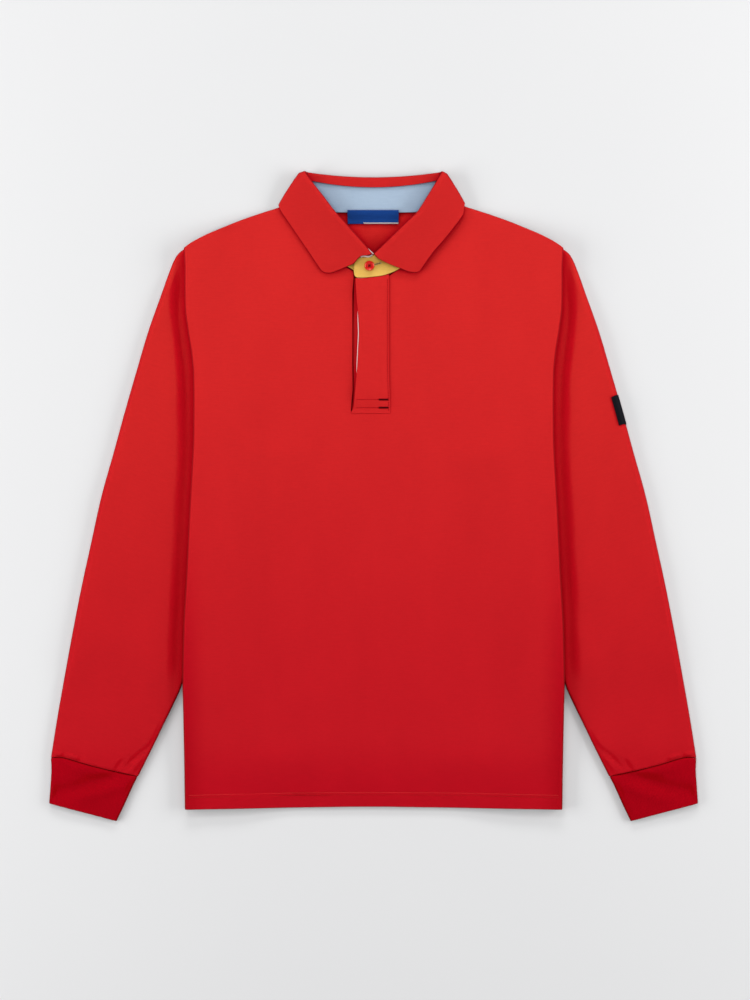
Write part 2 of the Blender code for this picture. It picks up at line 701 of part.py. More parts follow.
def main():
    for old in list(bpy.data.objects):
        bpy.data.objects.remove(old, do_unlink=True)
    body_panel("front_panel", 0, "jersey")
    body_panel("back_panel", 1, "jersey")
    make_sleeve("sleeve_left", -1)
    make_sleeve("sleeve_right", 1)
    make_cuff("cuff_left", -1)
    make_cuff("cuff_right", 1)
    make_collar()
    make_collar_stand()
    flat_strip("placket_under", UNDER_EDGE, FRONT_TOP - WALL, WALL, "jersey")
    flat_strip("placket_facing", FACING_EDGE, TAB_BOTTOM, FACING_WALL, "facing")
    flat_strip("placket_over", PLACKET_EDGE, STRIP_BOTTOM, WALL, "jersey")
    flat_tab("stand_under", STAND_BELOW, FRONT_TOP - WALL, WALL, "tab")
    flat_tab("stand_over", STAND_TAB, TAB_BOTTOM, WALL, "tab")
    flat_strip("neck_label", NECK_LABEL, 0.0, LABEL_WALL, "label")
    make_arm_label()
    make_button()


main()
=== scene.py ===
import math

import bpy
import numpy as np
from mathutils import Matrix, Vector


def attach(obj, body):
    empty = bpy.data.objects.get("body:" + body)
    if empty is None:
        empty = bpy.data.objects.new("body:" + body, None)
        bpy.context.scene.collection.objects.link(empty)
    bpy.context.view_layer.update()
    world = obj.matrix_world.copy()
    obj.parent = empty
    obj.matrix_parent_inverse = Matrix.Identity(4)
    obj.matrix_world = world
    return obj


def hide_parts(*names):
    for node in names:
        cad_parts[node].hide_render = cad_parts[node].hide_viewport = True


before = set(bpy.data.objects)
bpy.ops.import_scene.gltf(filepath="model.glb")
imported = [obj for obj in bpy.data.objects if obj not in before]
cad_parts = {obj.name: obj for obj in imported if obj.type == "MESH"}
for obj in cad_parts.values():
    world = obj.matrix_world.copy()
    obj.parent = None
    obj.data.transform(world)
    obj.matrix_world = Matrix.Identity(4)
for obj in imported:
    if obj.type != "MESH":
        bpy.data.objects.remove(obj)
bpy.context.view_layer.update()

# Lengths are in millimetres until mesh_object turns them into metres.
MM = 0.001
# A distance to a rim that isn't near
FAR = 99.0

# Cloth
WALL = 1.4
LAYER_GAP = 0.5
PITCH = WALL + LAYER_GAP
RIB_WALL = 1.6
CUFF_WALL = 1.4
BAND_WALL = 1.2
THIN_WALL = 0.3
RIM_STEPS = np.array([0.0, 0.12, 0.35, 0.7, 1.3])

# Weaves, in metres
KNIT_WALE = 0.0009
KNIT_COURSE = 0.0007
RIB_PITCH = 0.0017
TWILL_PITCH = 0.0011
WEAVE_PITCH = 0.0007

# Where each painted shade starts and where it is full: places in metres, then slopes and openness.
# The red cloth is painted darker towards the bottom, above the hem and beside the body's lower sides
# (BODY_REACH keeps that off the sleeves), on slopes that face inwards or down, on edges that face
# sideways, and by ambient occlusion where other cloth is near and in narrow places.
LOW_SHADE_PLACES = (0.34, -0.36)
HEM_SHADE_PLACES = (-0.275, -0.345)
SIDE_SHADE_PLACES = (0.194, 0.224)
SIDE_SHADE_DOWN = (0.02, -0.26)
BODY_REACH = 0.2265
SLOPE_SHADE_RANGE = (-0.07, -0.16)
EDGE_SHADE_RANGE = (0.992, 0.66)
COVER_REACH = 0.022
COVER_STARTS = 0.97
CREVICE_SHADE_RANGE = (0.64, 0.25)

# Body of the shirt
FRONT_CROWN = 1.0
CROWN_FADES = (140.0, 200.0)
CROWN_RISES = (-369.0, -325.0)
STACK_RAMP = (-90.0, -1.0)
COVER_RAMP = (-90.0, -4.0)
SEAM_RAMP = 24.0
SHOULDER_RISES = (200.0, 350.0)
SHOULDER_ROLL = 2.4
NECK_DEPTH = 15.0
NECK_RISES = (285.0, 350.0)
NECK_MIDDLE = 44.0
HEM_Y = -366.0
HEM_BOW = 3.0
HEM_DEPTH = 15.5
HEM_RISE = 0.35
HEM_GROOVE = 0.22
HEM_LINES = (14.2, 16.8)
TOP_Y = 350.0
SLOT_END_Y = 101.0

# Sleeves and cuffs
SLEEVE_UNDER_BODY = 4.4
BODY_LIFT = SLEEVE_UNDER_BODY + LAYER_GAP
SLEEVE_CROWN = 2.3
SLEEVE_GRAIN = math.radians(-17.0)
SECTION_PITCH = 47.0
CROWN_REACH = (2.0, 24.0)
EDGE_HEIGHT = 4.3
EDGE_REACH = 6.0
UNDERARM_Y = 47.0
SHOULDER_TIP = (221.2, 294.2)
CROWN_ENDS = (-190.0, -238.0)
CROWN_LOSS = 0.85
CUFF_SEAM_BOW = 3.4
CUFF_HEIGHT = 4.6
CUFF_LENGTH = 55.0
CUFF_GRAIN = math.radians(-15.0)

# Collar, stand and placket
LEAF_PITCH = 14.0
LEAF_EDGE_PITCH = 8.0
BAND_DEPTH = 30.0
FRONT_TOP = WALL + PITCH + FRONT_CROWN
TAB_BOTTOM = FRONT_TOP + 0.3
TAB_TOP = TAB_BOTTOM + WALL
STRIP_BOTTOM = TAB_BOTTOM + 1.1
PLACKET_TOP_Y = 258.2
PLACKET_ROWS = (114.6, 105.1)
BUTTON_CENTRE = (-5.0, 272.3)
BUTTONHOLE = np.array([(-9.0, 270.4), (8.3, 275.7)])

# Arm label, in places along the sleeve's sections, whose slant across the sleeve is taken out
ARM_LABEL_ENDS = (6.615, 7.31)
ARM_LABEL_REACH = (13.8, 2.4)
ARM_LABEL_LENGTH = 34.0
ARM_LABEL_WALL = 0.7
SLEEVE_SLANT = 0.744 / 51.0

# View: the image's height shows this much of the table
VIEW_HEIGHT = 1180.0
VIEW_CENTRE = (1.65, -3.9)
LENS = 85.0
SENSOR = 36.0
SIGHT_PLANE = 4.0


def table(columns, rows):
    """Named columns of a short table, as arrays."""
    values = np.array(rows, dtype=float)
    return {name: values[:, i] for i, name in enumerate(columns.split())}


BODY_EDGE = table("y half_width turned_under", [
    (-369, 222.7, 45), (-319, 223.3, 45), (-240, 224.7, 45.5), (-221, 225.2, 46),
    (-157, 224, 46), (-90, 220.4, 46.5), (-21.6, 217.2, 48), (47, 213.4, 50.4),
    (66.9, 212.6, 39), (85, 212.3, 31), (110.6, 212.2, 24), (143.6, 212.6, 18),
    (168.4, 214.7, 13.5), (196.7, 219.1, 10.5), (225, 222.4, 8.5), (247.4, 222.7, 8),
    (270, 222.6, 8), (283, 223.2, 8), (292.6, 223.6, 8),
])
SHOULDER_LINE = table("x y", [
    (84, 350), (112, 341), (134, 333.9), (158.5, 325), (177.5, 317), (195.4, 309.2),
    (211.2, 301.3), (219, 296.2), (223.6, 292.6),
])
BODY_ROWS = table("inner_y edge_y left_x right_x", [
    (-366, -369, 26.7, 14),
    (-347, -348, 26.7, 14),
    (-315, -315, 26.7, 14),
    (-150, -150, 26.7, 14),
    (25, 25, 26.7, 14),
    (50, 47, 26.7, 14),
    (72, 66.9, 26.7, 14),
    (SLOT_END_Y, 90, 26.7, 14),
    (127, 114, 24.2, 14),
    (155, 138, 24.7, 14),
    (185, 162, 24.7, 14),
    (215, 187, 24.7, 14),
    (240, 210, 24.7, 14),
    (258, 230, 23.1, 14),
    (266, 242, 23.6, 26),
    (274, 252, 38, 36),
    (290, 264, 50, 48),
    (310, 275, 61, 61),
    (330, 284, 72, 72),
    (350, 292.6, 84, 84),
])
SLEEVE_SECTIONS = table("outer_x outer_y inner_x inner_y armhole_share", [
    (SHOULDER_TIP[0], SHOULDER_TIP[1], 163, UNDERARM_Y, 1),
    (230.6, 286.8, 164.2, 41, 0.85),
    (235.2, 279.2, 165.4, 34, 0.7),
    (240.2, 267.2, 167.2, 25, 0.55),
    (249.9, 240, 174.5, -4, 0.25),
    (265.5, 196, 184, -44, 0),
    (279.3, 149.5, 193.5, -84, 0),
    (293, 102, 202.5, -122, 0),
    (307.3, 50, 211.5, -160, 0),
    (321, 1, 219.5, -193, 0),
    (333, -53, 226.4, -222, 0),
    (344.8, -107, 237.2, -247, 0),
    (355.8, -163, 247, -267, 0),
    (365.5, -216, 258, -290, 0),
    (373.6, -262, 268.4, -311, 0),
    (381, -308.3, 278, -330, 0),
])
CUFF_SECTIONS = table("outer_x outer_y inner_x inner_y bow_share", [
    (381, -308.6, 278.6, -330.3, 1),
    (380.4, -322, 284.5, -342, 0.8),
    (381.6, -342, 293.5, -362, 0.4),
    (383, -362, 303.5, -383, 0),
])

# Soft folds: each is a ridge, or with a negative height a trough, along a line
FOLD_COLUMNS = "start_x start_y end_x end_y width height"
FRONT_FOLDS = table(FOLD_COLUMNS, [
    (-180, 312, -162, 306, 8, -0.9),
    (-196, 268, -150, 296, 15, -0.5),
    (186, 262, 128, 300, 18, -0.35),
    (-190, 60, -120, 20, 16, -0.4),
    (-206, 20, -150, -30, 13, 0.3),
    (196, 48, 132, 6, 15, -0.35),
    (208, -10, 160, -52, 12, 0.25),
    (-60, 90, -34, 104, 7, -0.3),
    (22, 97, 52, 84, 8, -0.3),
    (-156, -314, -66, -311, 15, 0.8),
    (60, -311, 150, -315, 15, 0.8),
    (-96, -240, -30, -244, 17, 0.4),
    (36, -246, 110, -238, 18, 0.4),
    (-186, -262, -150, -256, 17, 0.4),
    (148, -262, 190, -258, 17, 0.35),
    (-20, -96, 40, -100, 22, 0.4),
])
BACK_FOLDS = table(FOLD_COLUMNS, [
    (-150, 250, -60, 200, 18, 0.3),
    (120, 230, 40, 120, 20, 0.25),
    (-90, -60, -60, -220, 18, 0.3),
])
SLEEVE_FOLDS = table(FOLD_COLUMNS, [
    (256, -290, 298, -324.5, 2.6, -0.7),
    (262, -288, 300, -312, 4.5, 0.4),
    (266, -306, 290, -326, 3.2, 0.45),
    (291, -306, 304, -324, 2.4, -0.5),
    (300, -306, 311, -325, 3, 0.5),
    (322, -308, 326, -323, 2.6, -0.3),
    (367, -304.8, 379, -302.2, 1.7, 1),
    (347, -309.2, 361, -304.6, 1.7, 1),
    (363, -297, 364.5, -310, 2.4, -0.4),
    (344, -300, 346, -313, 2.6, -0.35),
    (247, -150, 320, -112, 14, -0.5),
    (252, -176, 332, -150, 12, 0.5),
    (262, -214, 330, -196, 12, -0.4),
    (300, 20, 262, -40, 14, -0.45),
    (268, 150, 238, 96, 12, 0.45),
])
CUFF_FOLDS = table(FOLD_COLUMNS, [
    (392, -352, 292, -325, 8.5, -1.7),
    (360, -318, 312, -326, 5.5, 0.8),
    (352, -358, 290, -338, 7, 0.9),
    (384, -362, 350, -372, 7, 0.7),
])

# The leaves' front edges lie this far below a straight line from fold to corner
LEFT_FRONT = table("share drop", [
    (0, 0), (0.083, 0.3), (0.185, -1.4), (0.243, -1.1), (0.283, 1), (0.334, 3.8), (0.379, 4.9),
    (0.46, 5.4), (0.528, 5.6), (0.66, 6.7), (0.78, 6.8), (0.9, 4.9), (0.95, 2.9), (1, 0),
])
RIGHT_FRONT = table("share drop", [
    (0, 0), (0.04, 2.4), (0.087, 3.9), (0.195, 4.7), (0.321, 5.4), (0.449, 5.5), (0.57, 5.5),
    (0.69, 5.6), (0.793, 5.1), (0.882, 4), (0.945, 2.3), (1, 0),
])
COLLAR_COLUMNS = "fold_x fold_y edge_x edge_y fold_z edge_z front_share bulge"
LEFT_EDGE_Z = 5.45
RIGHT_EDGE_Z = 7.7
LEAF_LEFT = table(COLLAR_COLUMNS, [
    (-2.4, 286, -61.7, 266.9, 9.8, LEFT_EDGE_Z, 1, 0),
    (-11, 296.5, -69, 277.5, 10.6, LEFT_EDGE_Z, 0.55, 0),
    (-22, 308.8, -78, 290.8, 11.2, LEFT_EDGE_Z, 0.2, 0),
    (-34, 322.2, -88, 305.4, 11.6, LEFT_EDGE_Z, 0, 0),
    (-46, 335.7, -97, 318.6, 12, LEFT_EDGE_Z, 0, 0),
    (-60, 354, -104, 328.8, 12, LEFT_EDGE_Z, 0, 0.4),
    (-74, 372, -109.3, 336.6, 11, LEFT_EDGE_Z, 0, 1.6),
])
LEAF_RIGHT = table(COLLAR_COLUMNS, [
    (0.8, 286, 54.2, 265.8, 9.8, 7, 1, 0),
    (11, 295.3, 63, 278.4, 10.6, 7.9, 0.55, 0),
    (22, 306, 72, 290.5, 11.2, RIGHT_EDGE_Z, 0.2, 0),
    (36, 319.6, 82.5, 302.3, 11.6, RIGHT_EDGE_Z, 0, 0),
    (52, 335.2, 93, 315.5, 12, RIGHT_EDGE_Z, 0, 0),
    (63.5, 353, 101.5, 326.5, 12, 7.4, 0, 0.4),
    (74.5, 371, 106.2, 334.8, 11, 5.8, 0, 1.4),
])
COLLAR_TIP_LEFT = table(COLLAR_COLUMNS, [(-81, 382.2, -112, 343, 8, 5.3, 0, 4.6)])
COLLAR_TIP_RIGHT = table(COLLAR_COLUMNS, [(80.8, 382.2, 107.4, 345, 8, 5.3, 0, 3.3)])
BACK_FALL = table(COLLAR_COLUMNS, [
    (-71, 380.4, -98.5, 349.2, 3, 0.8, 0, 0),
    (-54, 378.5, -76, 352, 3, 0.8, 0, 0),
    (-27, 376.6, -35, 340.4, 3, 0.8, 0, 0),
    (0, 375.9, 0, 337, 3, 0.8, 0, 0),
    (27, 376.6, 35, 340.4, 3, 0.8, 0, 0),
    (54, 378.5, 76, 352, 3, 0.8, 0, 0),
    (71, 380.4, 96.5, 350, 3, 0.8, 0, 0),
])
LEAF_ROLL = table("along up", [(2.6, -4.2), (0.4, -2.6), (0, -1.1), (1.1, -0.2), (5, 0)])
TIP_ROLL = table("along up", [(-0.2, -1.4), (-0.6, -0.4), (0, 0.1), (0.8, 0), (5, -0.3)])
FALL_ROLL = table("along up", [(0.6, 0.9), (0.1, 0.3), (0, -0.4), (0.7, -1.7), (4, -2.2)])
LEAF_ACROSS = (0.13, 0.2, 0.28, 0.36, 0.46, 0.58, 0.7, 0.82, 0.91, 1)

STAND_TAB = table("x low_y high_y", [
    (-23.3, 265.5, 271), (-22.9, 262.6, 274.4), (-22, 260.4, 276.4), (-20.2, 258.7, 278.6),
    (-17, 258.1, 282), (-13.4, 258, 282.6), (-8, 258.4, 282.6), (-3.3, 258.9, 283.4),
    (1, 259.4, 285.2), (6.9, 260.2, 288), (13.7, 261.7, 293), (20.4, 264.1, 299),
    (25.8, 266.4, 303), (31, 269.4, 308), (38, 274.8, 314),
])
STAND_BELOW = table("x low_y high_y", [
    (-36.6, 276, 287), (-30, 271.2, 290), (-23.2, 266.9, 288), (-21, 262.4, 287),
    (-12, 261.4, 284), (0, 262, 282), (13.4, 265, 280),
])
PLACKET_EDGE = table("y left_x right_x", [
    (98.3, -26.4, 19.9), (99.9, -26.2, 19.9), (105.7, -23.8, 19.8), (116.5, -22.8, 19.4),
    (128.9, -21.7, 19), (152, -19.6, 18.4), (173, -18.4, 18.3), (194.2, -17.5, 18.3),
    (215.2, -18.5, 18.3), (237, -20.4, 18.3), (PLACKET_TOP_Y, -21.7, 18.3),
])
FACING_EDGE = table("y left_x right_x", [
    (128, -20, -8), (150, -20.1, -8), (173, -19.2, -8), (194.2, -18.4, -8), (214, -18.9, -8),
    (230, -18.6, -8), (PLACKET_TOP_Y, -19.6, -8),
])
UNDER_EDGE = table("y left_x right_x", [
    (SLOT_END_Y + 0.3, -25.9, 13.7), (127, -23.8, 13.7), (190, -24.3, 13.7),
    (PLACKET_TOP_Y, -23, 13.7),
])
NECK_LABEL = table("y left_x right_x", [
    (322, -30.4, 29.3), (330, -30.9, 29.6), (338.1, -30.8, 29.5),
])
LABEL_FOLD = table("y left_x right_x", [(322.2, -11, 29), (323.4, -12.5, 29.4)])
# Place of the sleeve's last section, counted from 0
SLEEVE_LAST = len(SLEEVE_SECTIONS["inner_x"]) - 1.0


def smoothstep(low, high, value):
    share = np.clip((np.asarray(value, dtype=float) - low) / (high - low), 0.0, 1.0)
    return share * share * (3.0 - 2.0 * share)


def smooth_line(keys, values, at):
    """Values at some places on a smooth line through a table's points, which doesn't overshoot them."""
    keys = np.asarray(keys, dtype=float)
    values = np.asarray(values, dtype=float)
    if keys[0] > keys[-1]:
        keys = keys[::-1]
        values = values[::-1]
    step = np.diff(keys)
    slope = np.diff(values) / step
    turn = slope[:-1] * slope[1:]
    together = np.where(turn > 0, slope[:-1] + slope[1:], 1.0)
    inner = np.where(turn > 0, 2.0 * turn / together, 0.0)
    tangent = np.concatenate([slope[:1], inner, slope[-1:]])
    at = np.clip(np.asarray(at, dtype=float), keys[0], keys[-1])
    i = np.clip(np.searchsorted(keys, at, side="right") - 1, 0, len(step) - 1)
    share = (at - keys[i]) / step[i]
    square = share * share
    cube = square * share
    return (
        (2 * cube - 3 * square + 1) * values[i]
        + (cube - 2 * square + share) * step[i] * tangent[i]
        + (3 * square - 2 * cube) * values[i + 1]
        + (cube - square) * step[i] * tangent[i + 1]
    )


def column(rows, name, at, key="y"):
    return smooth_line(rows[key], rows[name], at)


def spread(count, pitch, last=1.0):
    """Places from 0 to the last one, closer together at both rounded ends; a step of 1 is a pitch long."""
    rim = RIM_STEPS / pitch
    return np.concatenate([rim[:-1], np.linspace(rim[-1], last - rim[-1], count), last - rim[:-1][::-1]])


def rounded(distance, wall):
    """Half the thickness of a wall at a distance from its rim."""
    inside = np.clip(distance / (wall / 2), 0.03, 1.0)
    return wall / 2 * np.sqrt(1.0 - (1.0 - inside) ** 2)


def folds(x, y, rows):
    """Height of the soft folds of a table."""
    total = np.zeros(np.broadcast(x, y).shape)
    for x0, y0, x1, y1, width, height in zip(*(rows[name] for name in FOLD_COLUMNS.split())):
        length = math.hypot(x1 - x0, y1 - y0)
        run_x = (x1 - x0) / length
        run_y = (y1 - y0) / length
        share = ((x - x0) * run_x + (y - y0) * run_y) / length
        off = (y - y0) * run_x - (x - x0) * run_y
        bow = 0.03 * length * np.sin(math.pi * np.clip(share, 0.0, 1.0))
        ends = smoothstep(-0.2, 0.3, share) * (1.0 - smoothstep(0.7, 1.2, share))
        total += height * ends * np.exp(-((off - bow) / width) ** 2)
    return total


def unevenness(x, y, seed, height, longest=190.0, shortest=60.0):
    """Height of the slight waves that any laid cloth keeps."""
    draw = np.random.default_rng(seed)
    waves = 14
    total = np.zeros(np.broadcast(x, y).shape)
    for _ in range(waves):
        heading = draw.uniform(0.0, math.pi)
        turns = 2.0 * math.pi / draw.uniform(shortest, longest)
        phase = draw.uniform(0.0, 2.0 * math.pi)
        total += np.sin((x * math.cos(heading) + y * math.sin(heading)) * turns + phase)
    return height * total / math.sqrt(waves)


def mesh_object(name, points, faces):
    used, numbers = np.unique(faces, return_inverse=True)
    mesh = bpy.data.meshes.new(name)
    mesh.from_pydata((points[used] * MM).tolist(), [], numbers.reshape(faces.shape).tolist())
    mesh.validate()
    mesh.shade_smooth()
    made = bpy.data.objects.new(name, mesh)
    bpy.context.scene.collection.objects.link(made)
    return made


def shell(name, middle, half, ring=False, keep=None):
    """A closed thin shell about a grid of middle points; ring joins the last column to the first."""
    rows, columns = middle.shape[:2]
    along = np.gradient(middle, axis=0)
    if ring:
        across = np.roll(middle, -1, axis=1) - np.roll(middle, 1, axis=1)
    else:
        across = np.gradient(middle, axis=1)
    normals = np.cross(across, along)
    normals /= np.linalg.norm(normals, axis=2, keepdims=True)
    offset = normals * np.broadcast_to(half, (rows, columns))[..., None]
    points = np.concatenate([(middle + offset).reshape(-1, 3), (middle - offset).reshape(-1, 3)])
    cells = columns if ring else columns - 1
    row, start = np.mgrid[0:rows - 1, 0:cells]
    end = (start + 1) % columns
    quads = np.stack([
        row * columns + start,
        row * columns + end,
        (row + 1) * columns + end,
        (row + 1) * columns + start,
    ], axis=-1)
    quads = quads.reshape(-1, 4) if keep is None else quads[keep]
    edges = np.concatenate([quads[:, [i, (i + 1) % 4]] for i in range(4)])
    ordered = np.sort(edges, axis=1)
    _, first, uses = np.unique(ordered, axis=0, return_index=True, return_counts=True)
    rim = edges[first[uses == 1]]
    below = rows * columns
    walls = np.stack([rim[:, 1], rim[:, 0], rim[:, 0] + below, rim[:, 1] + below], axis=-1)
    return mesh_object(name, points, np.concatenate([quads, quads[:, ::-1] + below, walls]))


def plug(tree, node, inputs):
    """Sets a shader node's inputs to values, or links them to other nodes' outputs."""
    for key, value in inputs.items():
        if isinstance(value, bpy.types.NodeSocket):
            tree.links.new(value, node.inputs[key])
        else:
            node.inputs[key].default_value = value


def add(tree, kind, inputs, **settings):
    """A shader node with its settings and its inputs."""
    made = tree.nodes.new("ShaderNode" + kind)
    for key, value in settings.items():
        setattr(made, key, value)
    plug(tree, made, inputs)
    return made


def work_out(tree, operation, first, second=0.0, third=0.0):
    return add(tree, "Math", {0: first, 1: second, 2: third}, operation=operation).outputs[0]


def layered(tree, base, *layers):
    """A value with further ones added to it, each by its weight."""
    for layer, weight in layers:
        base = work_out(tree, "MULTIPLY_ADD", layer, weight, base)
    return base


def wave(tree, place, pitch):
    """A sine of a coordinate with the given pitch in metres."""
    return work_out(tree, "SINE", work_out(tree, "MULTIPLY", place, 2.0 * math.pi / pitch))


def noise(tree, vector, size, detail=2.0, stretch=(1.0, 1.0, 1.0)):
    """Noise whose grains have a size in metres, stretched along each axis."""
    scale = [1.0 / (size * s) if s else 0.0 for s in stretch]
    placed = add(tree, "Mapping", {"Vector": vector, "Scale": scale}).outputs[0]
    inputs = {"Vector": placed, "Scale": 1.0, "Detail": detail, "Roughness": 0.55}
    return add(tree, "TexNoise", inputs).outputs[0]


def knit(tree, x, y):
    """Plain knit: rows of small V stitches."""
    half_wale = KNIT_WALE / 2
    side = work_out(tree, "PINGPONG", x, half_wale)
    slanted = layered(tree, y, (side, 0.9))
    arm = work_out(tree, "SINE", work_out(tree, "MULTIPLY", side, math.pi / half_wale))
    return layered(tree, arm, (wave(tree, slanted, KNIT_COURSE), 0.4))


def rib(tree, x, y):
    """Fine rib: upright ridges of stitches."""
    return layered(tree, wave(tree, x, RIB_PITCH), (wave(tree, y, KNIT_COURSE), 0.3))


def twill(tree, x, y):
    """Woven twill: slanting lines over a fine thread."""
    slant = layered(tree, x, (y, 1.6))
    return layered(tree, wave(tree, slant, TWILL_PITCH), (wave(tree, x, TWILL_PITCH / 2), 0.35))


def plain_weave(tree, x, y):
    """Threads over and under each other."""
    return work_out(tree, "MULTIPLY", wave(tree, x, WEAVE_PITCH), wave(tree, y, WEAVE_PITCH))


def mix(tree, share, first, second, blend="MIX"):
    """A colour between two others, or by MULTIPLY the first one tinted by a share of the second."""
    def ready(value):
        return value if isinstance(value, bpy.types.NodeSocket) else (*value, 1.0)

    inputs = {0: share, 6: ready(first), 7: ready(second)}
    return add(tree, "Mix", inputs, data_type="RGBA", blend_type=blend).outputs[2]


def ramp(tree, value, start, end):
    """A smooth share from 0 to 1 while a value goes from start to end."""
    inputs = {"Value": value, "From Min": start, "From Max": end}
    return add(tree, "MapRange", inputs, interpolation_type="SMOOTHSTEP").outputs[0]


def painted_shade_shares(tree, spot):
    """Shares of painted shade: darker towards the bottom and above the hem, beside the body's lower sides, on
    slopes that face inwards or down, and on edges that face sideways.
    """
    across, up, _ = add(tree, "SeparateXYZ", {0: spot}).outputs
    normal = add(tree, "TexCoord", {}).outputs["Normal"]
    facing_x, facing_y, facing_z = add(tree, "SeparateXYZ", {0: normal}).outputs
    side = work_out(tree, "ABSOLUTE", across)
    beside = work_out(tree, "MULTIPLY", ramp(tree, side, *SIDE_SHADE_PLACES), ramp(tree, up, *SIDE_SHADE_DOWN))
    beside = work_out(tree, "MULTIPLY", beside, work_out(tree, "LESS_THAN", side, BODY_REACH))
    outward = work_out(tree, "MULTIPLY", facing_x, work_out(tree, "SIGN", across))
    return [
        (ramp(tree, up, *LOW_SHADE_PLACES), "low"),
        (ramp(tree, up, *HEM_SHADE_PLACES), "hem"),
        (beside, "side"),
        (ramp(tree, layered(tree, outward, (facing_y, 0.6)), *SLOPE_SHADE_RANGE), "slope_shade"),
        (ramp(tree, work_out(tree, "ABSOLUTE", facing_z), *EDGE_SHADE_RANGE), "edge_shade"),
    ]


def occlusion_shade_shares(tree, full):
    """Shares of painted shade from ambient occlusion: a painted shadow near other cloth, and a darker painted
    shade in narrow places.
    """
    openness = add(tree, "AmbientOcclusion", {"Distance": COVER_REACH}, samples=6).outputs["AO"]
    return [
        (ramp(tree, openness, COVER_STARTS, full), "shadow"),
        (ramp(tree, openness, *CREVICE_SHADE_RANGE), "crevice_shade"),
    ]


def blank_material(name):
    """A new material, its node tree, its shader and the coordinates of the object that has it."""
    material = bpy.data.materials.new(name)
    material.use_nodes = True
    tree = material.node_tree
    return material, tree, tree.nodes["Principled BSDF"], add(tree, "TexCoord", {}).outputs["Object"]


def cloth_material(name, facts, turn=0.0):
    """A cloth: fine relief from its weave, and uneven threads, mottling and wide soft patches of colour."""
    material, tree, shader, spot = blank_material(name)
    placing = {"Vector": spot, "Rotation": (0.0, 0.0, turn), "Scale": (1.0, 1.0, 0.0)}
    flat = add(tree, "Mapping", placing).outputs[0]
    x, y, _ = add(tree, "SeparateXYZ", {0: flat}).outputs
    weave = facts["weave"](tree, x, y)
    slub = noise(tree, flat, 0.0011, 2.0, (16.0, 1.0, 0.0))
    mottle = noise(tree, flat, 0.0035, 4.0, (1.3, 1.0, 0.0))
    patches = noise(tree, spot, 0.06, 2.0, (0.8, 2.6, 0.0))
    fuzz = noise(tree, spot, 0.0005, 3.0)
    shade = layered(
        tree, 0.5 - facts["slub"] / 2,
        (slub, facts["slub"]), (mottle, facts["mottle"]), (patches, facts["mottle"]), (weave, 0.06),
    )
    shade = work_out(tree, "SUBTRACT", shade, facts["mottle"])
    colour = mix(tree, shade, facts["dark"], facts["light"])
    # Painted shade, multiplied into the colour where the cloth's facts give its tints
    shade_tints = painted_shade_shares(tree, spot) if "low" in facts else []
    if "shadow" in facts:
        shade_tints += occlusion_shade_shares(tree, facts["covered"])
    for share, key in shade_tints:
        colour = mix(tree, share, colour, facts[key], "MULTIPLY")
    height = layered(tree, weave, (fuzz, 0.7), (slub, 0.8))
    bump = add(tree, "Bump", {"Height": height, "Strength": 0.6, "Distance": facts["bump"]})
    plug(tree, shader, {
        "Base Color": colour,
        "Roughness": layered(tree, facts["roughness"] - 0.06, (mottle, 0.12)),
        "Normal": bump.outputs[0],
        "Specular IOR Level": facts["specular"],
        "Sheen Weight": facts["sheen"],
        "Sheen Roughness": 0.5,
        "Sheen Tint": (1.0, 0.85, 0.6, 1.0),
    })
    return material


PLAIN_CLOTH = dict(slub=0.6, mottle=0.5, roughness=0.85, sheen=0.03, bump=0.00012, specular=0.05)
# Shaded cloths take painted shade from ambient occlusion: covered is the openness at which the painted shadow
# is full, and the crevice tint paints narrow places darker; the blue and mustard cloths take it too.
SHADED_CLOTH = dict(PLAIN_CLOTH, covered=0.68, crevice_shade=(0.3, 0.2, 0.25))
# The red's tints are painted shade: low darkens it towards the bottom, hem above the hem and side beside the
# body's lower sides. The slope tint is white here and paints nothing. The edge tint darkens edges that face
# sideways, and the shadow and crevice tints darken it where other cloth is near.
RED_CLOTH = dict(
    SHADED_CLOTH, weave=knit, light=(0.735, 0.0235, 0.0210), dark=(0.61, 0.0155, 0.016),
    low=(0.81, 0.32, 0.73), hem=(0.92, 0.40, 0.82), side=(0.84, 0.12, 0.64),
    slope_shade=(1.0, 1.0, 1.0), edge_shade=(0.5, 0.02, 0.32), shadow=(0.88, 0.06, 0.5),
)
COLLAR_CLOTH = dict(RED_CLOTH, light=(0.68, 0.0205, 0.019), dark=(0.575, 0.014, 0.015), bump=0.00014)
# The back shows only inside the neck opening: its lighter red is painted light for the lit middle there, and
# its stronger shadow tint is painted shade beside the collar's leaves.
BACK_CLOTH = dict(RED_CLOTH, light=(0.88, 0.028, 0.023), dark=(0.74, 0.018, 0.018), shadow=(0.72, 0.0, 0.35))
# The sleeves' slightly darker red is painted shade, and their slope tint, stronger shadow tint and wider
# reach of it paint the shade beside the body's edge; the cuffs take the same painted shade.
SLEEVE_CLOTH = dict(
    RED_CLOTH, light=(0.72, 0.0235, 0.0200), dark=(0.59, 0.0155, 0.015),
    slope_shade=(0.94, 0.1, 0.6), shadow=(0.91, 0.03, 0.5), covered=0.8, crevice_shade=(0.62, 0.3, 0.4),
)
CUFF_CLOTH = dict(
    SLEEVE_CLOTH, weave=rib, light=(0.56, 0.0012, 0.012), dark=(0.44, 0.0, 0.008), bump=0.0001,
    sheen=0.0, specular=0.03,
)
